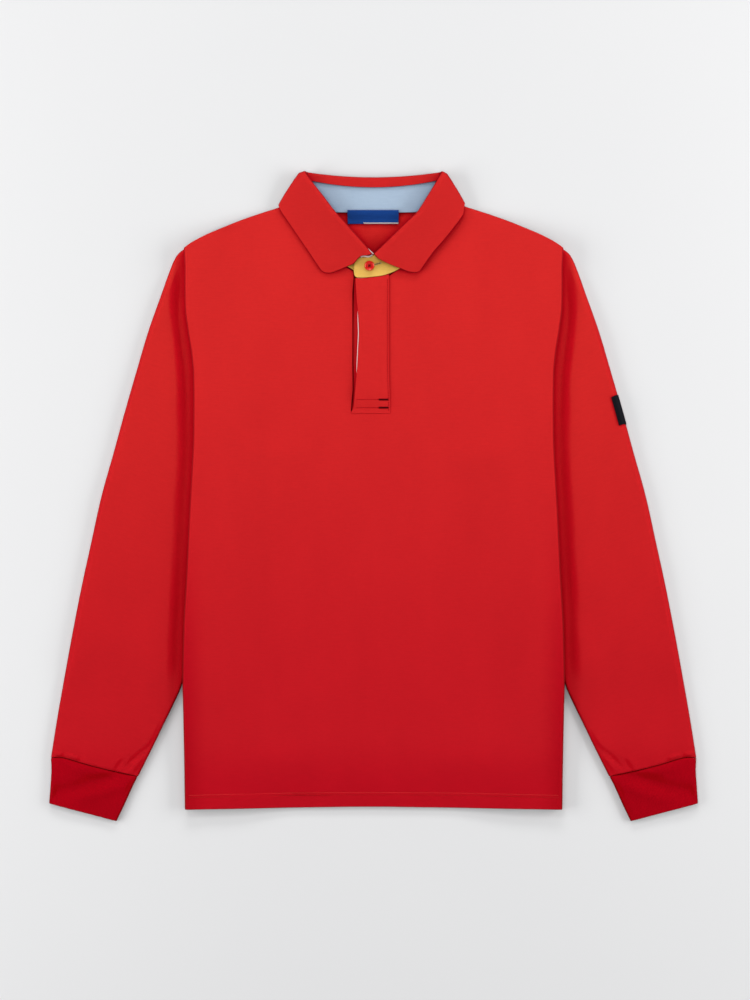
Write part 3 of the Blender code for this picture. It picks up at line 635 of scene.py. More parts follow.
# The red under the placket strip, with weaker painted shadow and crevice shade.
BELOW_CLOTH = dict(RED_CLOTH, shadow=(0.92, 0.0, 0.45), crevice_shade=(0.8, 0.3, 0.5))
BLUE_CLOTH = dict(
    SHADED_CLOTH, weave=plain_weave, light=(0.50, 0.62, 0.76), dark=(0.38, 0.50, 0.65), sheen=0.0, mottle=0.3,
    shadow=(0.74, 0.76, 0.82),
)
MUSTARD_CLOTH = dict(
    SHADED_CLOTH, weave=twill, light=(0.97, 0.62, 0.155), dark=(0.79, 0.46, 0.085), sheen=0.05,
    shadow=(0.88, 0.84, 0.66),
)
WHITE_CLOTH = dict(
    PLAIN_CLOTH, weave=plain_weave, light=(0.92, 0.78, 0.76), dark=(0.78, 0.64, 0.63), sheen=0.0,
)
LABEL_CLOTH = dict(
    PLAIN_CLOTH, weave=plain_weave, light=(0.003, 0.058, 0.29), dark=(0.001, 0.034, 0.19),
    roughness=0.6, sheen=0.0, bump=0.00006, specular=0.15,
)
DARK_LABEL_CLOTH = dict(
    LABEL_CLOTH, light=(0.008, 0.008, 0.012), dark=(0.003, 0.003, 0.005), roughness=0.75, specular=0.06,
)
THREAD = dict(PLAIN_CLOTH, weave=twill, bump=0.00005, roughness=0.7, sheen=0.1)
SEAM_THREAD = dict(THREAD, light=(0.50, 0.006, 0.010), dark=(0.38, 0.003, 0.006))
HEM_THREAD = dict(THREAD, light=(0.78, 0.04, 0.04), dark=(0.62, 0.02, 0.022))
DEEP_THREAD = dict(THREAD, light=(0.34, 0.001, 0.006), dark=(0.24, 0.0, 0.004), sheen=0.0)
DARK_THREAD = dict(THREAD, light=(0.10, 0.001, 0.003), dark=(0.045, 0.0, 0.001), sheen=0.0, specular=0.03)
LOOP_THREAD = dict(THREAD, light=(0.86, 0.64, 0.27), dark=(0.60, 0.40, 0.13))
OLIVE_THREAD = dict(THREAD, light=(0.13, 0.085, 0.02), dark=(0.06, 0.035, 0.01))
LABEL_THREAD = dict(THREAD, light=(0.02, 0.09, 0.32), dark=(0.01, 0.05, 0.2))


def moulded_material(name):
    """Glossy moulded plastic with faint swirls and fine scratches."""
    material, tree, shader, spot = blank_material(name)
    swirl = noise(tree, spot, 0.003, 3.0)
    scratches = noise(tree, spot, 0.0004, 2.0, (6.0, 1.0, 1.0))
    plug(tree, shader, {
        "Base Color": mix(tree, swirl, (0.52, 0.004, 0.006), (0.78, 0.016, 0.012)),
        "Roughness": layered(tree, 0.1, (scratches, 0.12)),
        "Normal": add(tree, "Bump", {"Height": swirl, "Strength": 0.15, "Distance": 0.0002}).outputs[0],
        "Specular IOR Level": 0.45,
        "Specular Tint": (1.0, 0.36, 0.26, 1.0),
    })
    return material


MATERIALS = {}


def finish(piece, facts, slot, replaces=(), turn=0.0):
    """Gives a piece its cloth, named after its slot, puts it on the root body and hides the nodes that it
    stands for.
    """
    key = (id(facts), round(turn, 3))
    if key not in MATERIALS:
        MATERIALS[key] = cloth_material(f"{slot}_{len(MATERIALS)}", facts, turn)
    piece.data.materials.append(MATERIALS[key])
    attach(piece, "root")
    if replaces:
        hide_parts(*replaces)


def seam_x(y):
    """Distance from the middle to the edge of the part that is turned under."""
    return column(BODY_EDGE, "half_width", y) - column(BODY_EDGE, "turned_under", y)


def lift(x, y):
    """Height of the lowest layer of the body over the table, where the sleeve lies below it."""
    below = column(SLEEVE_SECTIONS, "inner_x", y, key="inner_y")
    start = np.where(y >= UNDERARM_Y, seam_x(y), below)
    return BODY_LIFT * smoothstep(*COVER_RAMP, np.abs(x) - start)


def back_z(x, y):
    """Middle of the back panel's upper layer."""
    return lift(x, y) + WALL / 2 + 2 * PITCH * smoothstep(*STACK_RAMP, np.abs(x) - seam_x(y))


def front_z(x, y):
    """Middle of the front panel's upper layer."""
    crown = smoothstep(*CROWN_RISES, y) * (1.0 - smoothstep(*CROWN_FADES, np.abs(x)))
    return back_z(x, y) + PITCH + FRONT_CROWN * crown


def hem_relief(rise):
    """Height of the doubled hem over the cloth above it, with the grooves of its stitches."""
    relief = HEM_RISE * (1.0 - smoothstep(HEM_DEPTH - 1.0, HEM_DEPTH + 3.2, rise))
    for line in HEM_LINES:
        relief = relief - HEM_GROOVE * np.exp(-((rise - line) / 0.8) ** 2)
    return relief


def row_places(step):
    """Heights of a body panel's rows: close together at the hem, at the slot's end and at the shoulder."""
    hem = HEM_Y + np.concatenate([RIM_STEPS, np.linspace(2.2, 22.0, 24)])
    slot = SLOT_END_Y - RIM_STEPS[::-1]
    lower = np.linspace(hem[-1], slot[0], int((SLOT_END_Y - hem[-1]) / step))
    roll = TOP_Y - SHOULDER_ROLL * np.array([1.5, 1.0, 0.7, 0.45, 0.25, 0.1, 0.0])
    upper = np.linspace(SLOT_END_Y, roll[0], int((TOP_Y - SLOT_END_Y) / step) + 1)
    return np.concatenate([hem, lower[1:], slot[1:], upper[1:], roll[1:]])


def body_half(side, layer, inner_y, step):
    """Middle points of one half of a panel, from the middle over the top and round under to its seam.

    Also gives the distance of each point from the panel's inner edge and from its seam.
    """
    key = "left_x" if side < 0 else "right_x"
    inner_x = np.interp(inner_y, BODY_ROWS["inner_y"], BODY_ROWS[key])[:, None]
    edge_y = column(BODY_ROWS, "edge_y", inner_y, key="inner_y")[:, None]
    inner_y = inner_y[:, None]
    edge_x = column(BODY_EDGE, "half_width", edge_y)
    seam = seam_x(edge_y)
    radius = (1.5 - layer) * PITCH
    turn_x = edge_x - WALL / 2 - 1.5 * PITCH
    rim = RIM_STEPS[None, :]
    wide_x = inner_x + rim[:, -1:]
    ramp_x = seam - SEAM_RAMP
    wide, ramp_shares, shelf = (
        np.linspace(0.0, 1.0, int(length / step))[None, 1:] for length in (150.0, 28.0, 32.0)
    )
    top_x = np.concatenate([
        inner_x + rim,
        wide_x + (ramp_x - wide_x) * wide,
        ramp_x + (seam - ramp_x) * ramp_shares,
        seam + (turn_x - seam) * shelf,
    ], axis=1)
    under_x = np.concatenate([
        turn_x - (turn_x - seam - rim[:, -1:]) * np.linspace(0.0, 1.0, shelf.size)[None, :-1],
        seam + rim[:, ::-1],
    ], axis=1)
    angles = np.radians(np.linspace(80.0, -80.0, 9))[None, :]
    turned_x = turn_x + radius * np.cos(angles)

    def row_y(x):
        share = (x - inner_x) / (edge_x - inner_x)
        first_x, last_x = SHOULDER_LINE["x"][[0, -1]]
        first_y, last_y = SHOULDER_LINE["y"][[0, -1]]
        shoulder_y = column(SHOULDER_LINE, "y", first_x + (last_x - first_x) * share, key="x")
        bow = shoulder_y - first_y - (last_y - first_y) * share
        return inner_y + (edge_y - inner_y) * share + bow * smoothstep(*SHOULDER_RISES, inner_y)

    def relief(x, y):
        free = 1.0 - smoothstep(-60.0, -10.0, x - edge_x)
        if layer:
            return free * folds(side * x, y, BACK_FOLDS)
        slot_free = smoothstep(4.0, 22.0, x - inner_x)
        waves = folds(side * x, y, FRONT_FOLDS) + unevenness(side * x, y, 5, 0.16)
        return hem_relief(y - (HEM_Y - HEM_BOW * (x / edge_x) ** 2)) + free * slot_free * waves

    top_y = row_y(top_x)
    roll = np.clip((TOP_Y - inner_y) / SHOULDER_ROLL, 0.0, 1.0)
    flat_part = 1.0 - smoothstep(-30.0, -8.0, top_x - seam)
    drop = (-1.0, 0.55)[layer] * ((PITCH + FRONT_CROWN) / 2 - 0.3)
    top_z = (front_z, back_z)[layer](top_x, top_y) + relief(top_x, top_y)
    top_z = top_z + drop * flat_part * (1.0 - np.sqrt(1.0 - (1.0 - roll) ** 2))
    turn_y = row_y(turn_x)
    centre_z = (back_z(turn_x, turn_y) + PITCH + lift(turn_x, turn_y) + WALL / 2) / 2
    under_y = row_y(under_x)
    under_z = lift(under_x, under_y) + WALL / 2 + layer * PITCH
    x = np.concatenate([top_x, turned_x, under_x], axis=1)
    y = np.concatenate([top_y, row_y(turned_x), under_y], axis=1)
    z = np.concatenate([top_z, centre_z + radius * np.sin(angles), under_z], axis=1)
    from_inner = np.full_like(x, FAR)
    from_inner[:, :top_x.shape[1]] = top_x - inner_x
    from_seam = np.full_like(x, FAR)
    from_seam[:, -under_x.shape[1]:] = under_x - seam
    return np.stack([side * x, y, z], axis=2), from_inner, from_seam


def body_panel(name, layer, step, node):
    """Front or back panel, with both sides turned under; the front is open down to the slot's end."""
    inner_y = row_places(step)
    left, left_inner, left_seam = body_half(-1, layer, inner_y, step)
    right, right_inner, right_seam = body_half(1, layer, inner_y, step)
    shares = np.linspace(0.0, 1.0, int(NECK_MIDDLE / step) + 2)[1:-1]
    start = left[:, :1]
    middle = start + (right[:, :1] - start) * shares[None, :, None]
    dip = 1.0 - (middle[:, :, 0] / start[:, :, 0]) ** 2
    middle[:, :, 1] -= NECK_DEPTH * smoothstep(*NECK_RISES, start[:, :, 1]) * dip
    grid = np.concatenate([left[:, ::-1], middle, right], axis=1)
    none = np.full(middle.shape[:2], FAR)
    distance = np.concatenate([left_seam[:, ::-1], none, right_seam], axis=1)
    distance = np.minimum(distance, np.minimum(inner_y - HEM_Y, TOP_Y - inner_y)[:, None])
    keep = None
    if layer == 0:
        in_slot = inner_y >= SLOT_END_Y - 0.001
        from_inner = np.concatenate([left_inner[:, ::-1], none, right_inner], axis=1)
        distance[in_slot] = np.minimum(distance, from_inner)[in_slot]
        first = left.shape[1]
        last = first + len(shares)
        keep = np.ones((len(inner_y) - 1, grid.shape[1] - 1), dtype=bool)
        keep[in_slot[:-1], first - 1:last] = False
        below_slot = np.where(inner_y <= SLOT_END_Y, SLOT_END_Y - inner_y, FAR)[:, None]
        distance[:, first:last] = np.minimum(distance[:, first:last], below_slot)
    made = shell(name, grid, rounded(distance, WALL), keep=keep)
    finish(made, (RED_CLOTH, BACK_CLOTH)[layer], "jersey", (node,))


def tube_ends(rows, share_name, places):
    """Points of a tube's inner and outer edge at some places along its sections, and one more share."""
    numbers = np.arange(len(rows["inner_x"]))
    names = ("inner_x", "inner_y", "outer_x", "outer_y", share_name)
    inner_x, inner_y, outer_x, outer_y, share = (smooth_line(numbers, rows[name], places) for name in names)
    return np.stack([inner_x, inner_y], axis=1), np.stack([outer_x, outer_y], axis=1), share[:, None]


def tube_points(inner, outer, share):
    """x and y at some shares of the way from a tube's inner edge to its outer one."""
    at = inner[:, None] + (outer - inner)[:, None] * share[..., None]
    return at[..., 0], at[..., 1]


def tube_ring(inner, outer, height, counts):
    """Shares of the way across a flattened tube and heights, once round: over the top, the edge and below."""
    width = np.linalg.norm(outer - inner, axis=1)[:, None]
    edge = EDGE_HEIGHT / 2
    bend = edge - WALL / 2
    shares = np.linspace(0.0, 1.0, counts[0])
    shares = (shares + (1.0 - np.cos(math.pi * shares)) / 2) / 2
    top = edge + (width - 2 * edge) * shares[None, :]
    rise = smoothstep(0.0, EDGE_REACH, top - edge) * smoothstep(0.0, EDGE_REACH, width - edge - top)
    top_z = edge + bend + (height(top / width) - EDGE_HEIGHT) * rise
    angles = np.radians(np.linspace(67.5, -67.5, 5))[None, :]
    outer_turn = width - edge + bend * np.cos(angles)
    inner_turn = np.broadcast_to(edge - bend * np.cos(angles[:, ::-1]), outer_turn.shape)
    low = width - edge - (width - 2 * edge) * np.linspace(0.0, 1.0, counts[1])[None, :]
    turn_z = np.broadcast_to(edge + bend * np.sin(angles), outer_turn.shape)
    distance = np.concatenate([top, outer_turn, low, inner_turn], axis=1)
    z = np.concatenate([top_z, turn_z, np.full_like(low, WALL / 2), turn_z[:, ::-1]], axis=1)
    on_top = np.zeros(distance.shape)
    on_top[:, :top.shape[1]] = rise
    return distance / width, z, on_top


def cuff_seam_bow(share):
    """How far the seam between sleeve and cuff bows up at a share of the way across."""
    return CUFF_SEAM_BOW * np.sin(math.pi * np.clip(share, 0.0, 1.0) ** 4)


def sleeve_grid(side, places, counts=(46, 26)):
    """Middle points of a sleeve at some places along its sections."""
    inner, outer, armhole = tube_ends(SLEEVE_SECTIONS, "armhole_share", places)

    def height(share):
        x, y = tube_points(inner, outer, share)
        free = smoothstep(*CROWN_REACH, x - column(BODY_EDGE, "half_width", y))
        towards_cuff = 1.0 - CROWN_LOSS * smoothstep(-CROWN_ENDS[0], -CROWN_ENDS[1], -y)
        return SLEEVE_UNDER_BODY + SLEEVE_CROWN * free * towards_cuff

    share, z, on_top = tube_ring(inner, outer, height, counts)
    x, y = tube_points(inner, outer, share)
    armhole_y = UNDERARM_Y + (SHOULDER_TIP[1] - UNDERARM_Y) * share
    base = float(seam_x(UNDERARM_Y))
    straight = base + (SHOULDER_TIP[0] - base) * share
    inside = 1.0 - smoothstep(0.88, 1.0, share)
    x = x + armhole * (seam_x(armhole_y) - straight) * inside
    y = y + smoothstep(SLEEVE_LAST - 1.6, SLEEVE_LAST, places)[:, None] * cuff_seam_bow(share)
    clear = smoothstep(2.0, 30.0, x - column(BODY_EDGE, "half_width", y))
    waves = folds(x, y, SLEEVE_FOLDS) + unevenness(x, y, 11 if side < 0 else 12, 0.22, 150.0, 45.0)
    from_end = (SLEEVE_LAST - places)[:, None] * SECTION_PITCH
    z = z + on_top * (clear * waves - 0.7 * (1.0 - smoothstep(0.0, 3.0, from_end)))
    return np.stack([side * x, y, z], axis=2)


def make_sleeve(name, side, node):
    """Sleeve as a flat tube, its rows closer together at its ends and above the cuff."""
    rim = RIM_STEPS / SECTION_PITCH
    end = SLEEVE_LAST - rim[::-1]
    upper = np.linspace(rim[-1], SLEEVE_LAST - 0.9, 76)
    lower = np.linspace(SLEEVE_LAST - 0.86, end[0], 26)
    places = np.concatenate([rim[:-1], upper, lower, end[1:]])
    from_ends = np.minimum(places, SLEEVE_LAST - places) * SECTION_PITCH
    made = shell(name, sleeve_grid(side, places), rounded(from_ends, WALL)[:, None], ring=True)
    finish(made, SLEEVE_CLOTH, "jersey", (node,), turn=side * SLEEVE_GRAIN)


def make_cuff(name, side, node):
    """Ribbed band at the end of a sleeve."""
    last = len(CUFF_SECTIONS["inner_x"]) - 1
    places = spread(26, CUFF_LENGTH) * last
    inner, outer, bow = tube_ends(CUFF_SECTIONS, "bow_share", places)
    share, z, on_top = tube_ring(inner, outer, lambda shares: np.full_like(shares, CUFF_HEIGHT), (46, 22))
    x, y = tube_points(inner, outer, share)
    y = y + bow * cuff_seam_bow(share)
    from_start = (places / last * CUFF_LENGTH)[:, None]
    waves = folds(x, y, CUFF_FOLDS) + unevenness(x, y, 21 if side < 0 else 22, 0.16, 70.0, 24.0)
    z = z + on_top * (waves - 0.8 * (1.0 - smoothstep(0.0, 2.6, from_start)))
    half = rounded(np.minimum(from_start, CUFF_LENGTH - from_start), CUFF_WALL)
    made = shell(name, np.stack([side * x, y, z], axis=2), half, ring=True)
    finish(made, CUFF_CLOTH, "cuff_rib", (node,), turn=side * CUFF_GRAIN)


def collar_section(rows, i, roll, front):
    """Points across the collar, from inside its fold to its outer edge."""
    fold = np.array([rows["fold_x"][i], rows["fold_y"][i]])
    edge = np.array([rows["edge_x"][i], rows["edge_y"][i]])
    span = edge - fold
    length = np.linalg.norm(span)
    across = span / length
    outward = np.array([across[1], -across[0]]) * (1.0 if span[0] < 0 else -1.0)

    def place(share):
        drop = rows["front_share"][i] * float(column(front, "drop", share, key="share"))
        bulge = rows["bulge"][i] * float(smoothstep(-0.06, 0.12, share)) * (1.0 - max(share, 0.0) ** 2)
        return fold + span * share + outward * bulge - np.array([0.0, drop])

    steps = zip(roll["along"], roll["up"])
    points = [(*place(step / length), rows["fold_z"][i] + up) for step, up in steps]
    top_z = points[-1][2]
    start = roll["along"][-1] / length
    for share in LEAF_ACROSS:
        fallen = ((1.0 - share) / (1.0 - start)) ** 1.3
        points.append((*place(share), rows["edge_z"][i] + (top_z - rows["edge_z"][i]) * fallen))
    return points


def refine(grid, row_places, column_places):
    """A grid of points at finer places, which count its rows and columns, on smooth lines."""
    def finer(lines, places):
        numbers = np.arange(lines.shape[0])
        return np.stack([
            np.stack([smooth_line(numbers, lines[:, j, k], places) for j in range(lines.shape[1])], axis=1)
            for k in range(3)
        ], axis=2)

    down = finer(np.asarray(grid, dtype=float), row_places)
    return finer(down.transpose(1, 0, 2), column_places).transpose(1, 0, 2)


def make_collar():
    """Collar with its two leaves folded forward and its back fall below the stand."""
    sections = []
    for rows, roll, front, order in (
        (LEAF_LEFT, LEAF_ROLL, LEFT_FRONT, 1),
        (COLLAR_TIP_LEFT, TIP_ROLL, LEFT_FRONT, 1),
        (BACK_FALL, FALL_ROLL, LEFT_FRONT, 1),
        (COLLAR_TIP_RIGHT, TIP_ROLL, RIGHT_FRONT, 1),
        (LEAF_RIGHT, LEAF_ROLL, RIGHT_FRONT, -1),
    ):
        sections += [collar_section(rows, i, roll, front) for i in range(len(rows["bulge"]))][::order]
    last_row = len(sections) - 1
    last_column = len(sections[0]) - 1
    row_places = spread(170, LEAF_PITCH, last_row)
    edge = last_column - RIM_STEPS[::-1] / LEAF_EDGE_PITCH
    column_places = np.concatenate([np.linspace(0.0, 4.0, 15), np.linspace(4.0, edge[0], 40)[1:], edge[1:]])
    to_front = np.minimum(row_places, last_row - row_places) * LEAF_PITCH
    to_sides = np.minimum((last_column - column_places) * LEAF_EDGE_PITCH, column_places * 3.0)
    half = rounded(np.minimum(to_front[:, None], to_sides[None, :]), RIB_WALL)
    made = shell("collar_cloth", refine(sections, row_places, column_places), half)
    finish(made, COLLAR_CLOTH, "rib", ("collar",))


def arc_band(name, top, low, heights, half_widths, wall, facts, slot, replaces=(), roll=0.0):
    """A band across the back of the neck between two bowed edges.

    top and low are (y at the middle, rise at the ends); heights and half widths are at top and low.
    """
    across = np.linspace(-1.0, 1.0, 81)
    down = spread(12, BAND_DEPTH)[:, None]
    y_top = top[0] + top[1] * across ** 2
    y_low = low[0] + low[1] * across ** 2
    x = (half_widths[0] + (half_widths[1] - half_widths[0]) * down) * across
    y = y_top + (y_low - y_top) * down
    z = np.broadcast_to(heights[0] + (heights[1] - heights[0]) * down, x.shape)
    if roll:
        depth = np.abs(y_top - y_low) * down
        z = z - roll * (1.0 - np.sqrt(1.0 - (1.0 - np.clip(depth / roll, 0.0, 1.0)) ** 2))
    half = rounded(np.minimum(down, 1.0 - down) * BAND_DEPTH, wall)
    finish(shell(name, np.stack([x, y, z], axis=2)[::-1], half[::-1]), facts, slot, replaces)


def level(z):
    """A height that is the same at all places."""
    return lambda x, y: np.full_like(x, z)


def flat_piece(name, rows, height, wall, facts, slot, replaces=(), cells=(60, 16), reach=None):
    """A piece between the two edges of a table, at heights given by a function of x and y.

    The table says where its left and right edges are at each y, or its low and high ones at each x.
    reach says for each x how far the top edge goes beyond the last row.
    """
    key, *edges = rows
    low, high = rows[key][[0, -1]]
    along = (low + (high - low) * spread(cells[0], high - low))[:, None]
    first, last = (column(rows, edge, along, key=key) for edge in edges)
    width = float(np.mean(last - first))
    share = spread(cells[1], width)[None, :]
    across = first + (last - first) * share
    distance = np.minimum(np.minimum(along - low, high - along), np.minimum(share, 1.0 - share) * width)
    x, y = across, np.broadcast_to(along, across.shape)
    if key == "x":
        x, y, distance = y.T, x.T, distance.T
    if reach:
        y = y + reach(x) * smoothstep(high - 30.0, high, y)
    if callable(wall):
        wall = wall(x, y)
    made = shell(name, np.stack([x, y, height(x, y)], axis=2), rounded(distance, wall))
    finish(made, facts, slot, replaces)


def strip_wall(x, y):
    """Thickness of the placket strip, which runs out thin where it is sewn to the front."""
    thick = smoothstep(SLOT_END_Y + 0.5, 114.0, y) * (1.0 - 0.5 * smoothstep(2.0, 13.0, x))
    return THIN_WALL + (WALL - THIN_WALL) * thick


def strip_height(x, y):
    """Middle of the placket strip: its left edge is free, and its right edge is sewn to the front."""
    free = smoothstep(SLOT_END_Y, 128.0, y) * (1.0 - smoothstep(-8.0, 17.0, x))
    low = FRONT_TOP + 0.08
    return low + (STRIP_BOTTOM - low) * free + strip_wall(x, y) / 2


def strip_top(x, y):
    return strip_height(x, y) + strip_wall(x, y) / 2


def strip_reach(x):
    """How far the strip's top edge goes up to stay just below the tab."""
    return column(STAND_TAB, "low_y", np.maximum(x, -17.0), key="x") - 0.3 - PLACKET_TOP_Y


def stitches(name, runs, radius, facts, slot):
    """Short threads, each a pointed round bar from one point to the next of a run."""
    rings = ((0.0, 0.25, -0.55), (0.18, 0.9, 0.1), (0.5, 1.0, 0.35), (0.82, 0.9, 0.1), (1.0, 0.25, -0.55))
    sides = 6
    points = []
    faces = []
    for start, end in runs:
        start = np.asarray(start, dtype=float)
        end = np.asarray(end, dtype=float)
        run = (end - start) / np.linalg.norm(end - start)
        side = np.cross(run, (0.0, 0.0, 1.0))
        side /= np.linalg.norm(side)
        up = np.cross(side, run)
        base = len(points)
        for share, size, rise in rings:
            at = start + (end - start) * share + up * rise * radius
            for turn in np.arange(sides) * 2.0 * math.pi / sides:
                points.append(at + (side * math.cos(turn) + up * math.sin(turn)) * radius * size)
        tip = len(points) - sides
        for ring in range(base, tip, sides):
            for k in range(sides):
                after = (k + 1) % sides
                faces.append((ring + k, ring + after, ring + after + sides, ring + k + sides))
        for a, b, c in ((3, 2, 1), (5, 4, 3)):
            faces.append((base, base + a, base + b, base + c))
            faces.append((tip, tip + c, tip + b, tip + a))
    finish(mesh_object(name, np.array(points), np.array(faces)), facts, slot)


def lengths_along(path):
    """Distance of each point of a path from its start."""
    return np.concatenate([[0.0], np.cumsum(np.linalg.norm(np.diff(path, axis=0), axis=1))])


def stitch_runs(path, pitch, gap=0.7):
    """Ends of the stitches of a seam along a line of points, given as x, y and z."""
    path = np.stack(np.broadcast_arrays(*path), axis=1).astype(float)
    length = lengths_along(path)
    count = int(length[-1] / pitch)
    runs = []
    for i in range(count):
        ends = np.array([i + gap / pitch / 2, i + 1 - gap / pitch / 2]) * length[-1] / count
        runs.append([np.array([np.interp(e, length, path[:, k]) for k in range(3)]) for e in ends])
    return runs


def hem_stitches():
    """Two rows of stitches along the front's hem."""
    x = np.linspace(-218.0, 218.0, 220)
    hem_y = HEM_Y - HEM_BOW * (x / column(BODY_EDGE, "half_width", -350.0)) ** 2
    for line, name, thread in zip(HEM_LINES, ("hem_stitches_low", "hem_stitches"), (SEAM_THREAD, HEM_THREAD)):
        z = front_z(x, hem_y + line) + hem_relief(line) + WALL / 2 + 0.1
        stitches(name, stitch_runs((x, hem_y + line, z), 3.0), 0.26, thread, "jersey")


def placket_stitches():
    """The strip's edge seam, its two stitched rows and the bar tacks that end them."""
    y = np.linspace(SLOT_END_Y, 257.0, 60)
    x = column(PLACKET_EDGE, "right_x", y) - 2.0
    runs = stitch_runs((x, y, strip_top(x, y) + 0.03), 2.8)
    tacks = []
    x = np.linspace(-20.5, 6.0, 30)
    for y in PLACKET_ROWS:
        runs += stitch_runs((x, y, strip_top(x, y) + 0.03), 2.4)
        for tack_x in np.arange(6.3, 17.6, 0.42):
            top = float(strip_top(tack_x, y)) + 0.15
            lean = 0.12 * math.sin(tack_x * 9.0)
            tacks.append(((tack_x - lean, y - 1.15, top), (tack_x + lean, y + 1.15, top)))
    stitches("placket_stitches", runs, 0.28, DEEP_THREAD, "jersey")
    stitches("bar_tacks", tacks, 0.3, DARK_THREAD, "cuff_rib")


def buttonhole():
    """Threads wrapped round the slit that the button goes through, and a dark bar of thread along the slit,
    painted shade in its gap.
    """
    start, end = BUTTONHOLE
    length = float(np.linalg.norm(end - start))
    run = (end - start) / length
    side = np.array([-run[1], run[0]])
    z = TAB_TOP + 0.12
    runs = []
    for along in np.arange(0.0, length, 0.5):
        for sign in (-1.0, 1.0):
            inner, outer = (start + run * along + side * sign * reach for reach in (0.35, 1.35))
            runs.append(((*inner, z), (*outer, z)))
    for angle in np.radians(np.arange(-80.0, 81.0, 20.0)):
        out = run * math.cos(angle) + side * math.sin(angle)
        runs.append(((*(end + out * 0.2), z), (*(end + out * 1.3), z)))
    stitches("buttonhole_stitches", runs, 0.24, LOOP_THREAD, "tab")
    stitches("buttonhole_slit", stitch_runs((*BUTTONHOLE.T, z + 0.1), 2.6, 0.1), 0.3, OLIVE_THREAD, "tab")


def button_thread():
    """Crossed threads through the button's four holes."""
    z = TAB_TOP + 2.35
    reach = 1.35 / math.sqrt(2.0)
    x, y = BUTTON_CENTRE
    runs = []
    for offset in (-0.22, 0.22):
        for flip in (1.0, -1.0):
            start = (x - reach + offset, y - flip * reach, z)
            runs.append((start, (x + reach + offset, y + flip * reach, z + 0.15 * (flip > 0))))
    stitches("button_thread", runs, 0.22, DARK_THREAD, "cuff_rib")


def ribbon(name, line, width, wall, facts, slot):
    """A narrow band of cloth that follows a line of points (x, y, z)."""
    line = np.asarray(line, dtype=float)
    length = lengths_along(line)
    along = length[-1] * spread(30, length[-1])
    middle = np.stack([smooth_line(length, line[:, k], along) for k in range(3)], axis=1)
    side = np.cross(np.gradient(middle, axis=0), (0.0, 0.0, 1.0))
    side /= np.linalg.norm(side, axis=1, keepdims=True)
    share = np.linspace(-1.0, 1.0, 9)
    grid = middle[:, None] + side[:, None] * (share * width / 2)[None, :, None]
    from_end = np.minimum(along, along[-1] - along)[:, None]
    from_side = (width / 2 * (1.0 - np.abs(share)))[None, :]
    finish(shell(name, grid, rounded(np.minimum(from_end, from_side), wall)), facts, slot)


def lining_edges():
    """White edges of the lining that show beside the tab and beside the left leaf's fold."""
    z = TAB_TOP + 0.45
    tab_edge = [(-15.2, 282.7, z), (-12.0, 283.7, z), (-6.4, 282.9, z), (-1.4, 284.8, z)]
    leaf_edge = [(-7.0, 292.1, 8.6), (-3.6, 289.0, 8.6), (-0.2, 285.9, 8.6)]
    ribbon("tab_lining_edge", tab_edge, 1.7, 0.6, WHITE_CLOTH, "facing")
    ribbon("leaf_lining_edge", leaf_edge, 1.3, 0.5, WHITE_CLOTH, "facing")


def make_neck_label():
    """Bare woven label with its pale folded lower edge and the stitches of its sides."""
    def height(x, y):
        return 2.3 + 2.2 * smoothstep(326.0, 336.0, y)

    flat_piece("neck_label_cloth", NECK_LABEL, height, 0.8, LABEL_CLOTH, "label", ("neck_label",), (14, 30))
    flat_piece("neck_label_fold", LABEL_FOLD, level(3.3), 0.5, WHITE_CLOTH, "facing", cells=(6, 24))
    y = np.linspace(324.0, 337.0, 8)
    runs = []
    for x in (-29.6, 28.4):
        runs += stitch_runs((x, y, height(x, y) + 0.45), 2.2)
    stitches("neck_label_stitches", runs, 0.16, LABEL_THREAD, "label")


def make_arm_label():
    """Bare dark label over the outer edge of the right sleeve, made from the sleeve's own points.

    The sleeve's rows run slanted to its outer edge, so each column of the label is shifted to end square.
    """
    places = np.linspace(6.25, 7.45, 60)
    counts = (240, 60)
    grid = sleeve_grid(1, places, counts)
    normals = np.cross(np.gradient(grid, axis=0), np.gradient(grid, axis=1))
    normals /= np.linalg.norm(normals, axis=2, keepdims=True)
    lifted = grid + normals * ((WALL + ARM_LABEL_WALL) / 2 + 0.15)
    outer = tube_ends(SLEEVE_SECTIONS, "armhole_share", places)[1]
    inset = np.linalg.norm(grid[:, :, :2] - outer[:, None], axis=2)
    rows = range(len(places))
    order = [np.argsort(inset[i, :counts[0]]) for i in rows]
    down = np.linspace(*ARM_LABEL_ENDS, 26)
    columns = []
    for reach in np.linspace(*ARM_LABEL_REACH, 18):
        line = np.array([
            [np.interp(reach, inset[i, order[i]], lifted[i, order[i], k]) for k in range(3)] for i in rows
        ])
        shifted = down - SLEEVE_SLANT * reach
        columns.append([np.interp(shifted, places, line[:, k]) for k in range(3)])
    for rim in range(counts[0], counts[0] + 3):
        columns.append([np.interp(down, places, lifted[:, rim, k]) for k in range(3)])
    grid = np.array(columns).transpose(2, 0, 1)
    share = np.linspace(0.0, 1.0, len(down))
    half = rounded(np.minimum(share, 1.0 - share) * ARM_LABEL_LENGTH + 0.1, ARM_LABEL_WALL)[:, None]
    made = shell("arm_label_cloth", grid, half)
    finish(made, DARK_LABEL_CLOTH, "dark_label", ("arm_label",), turn=SLEEVE_GRAIN)


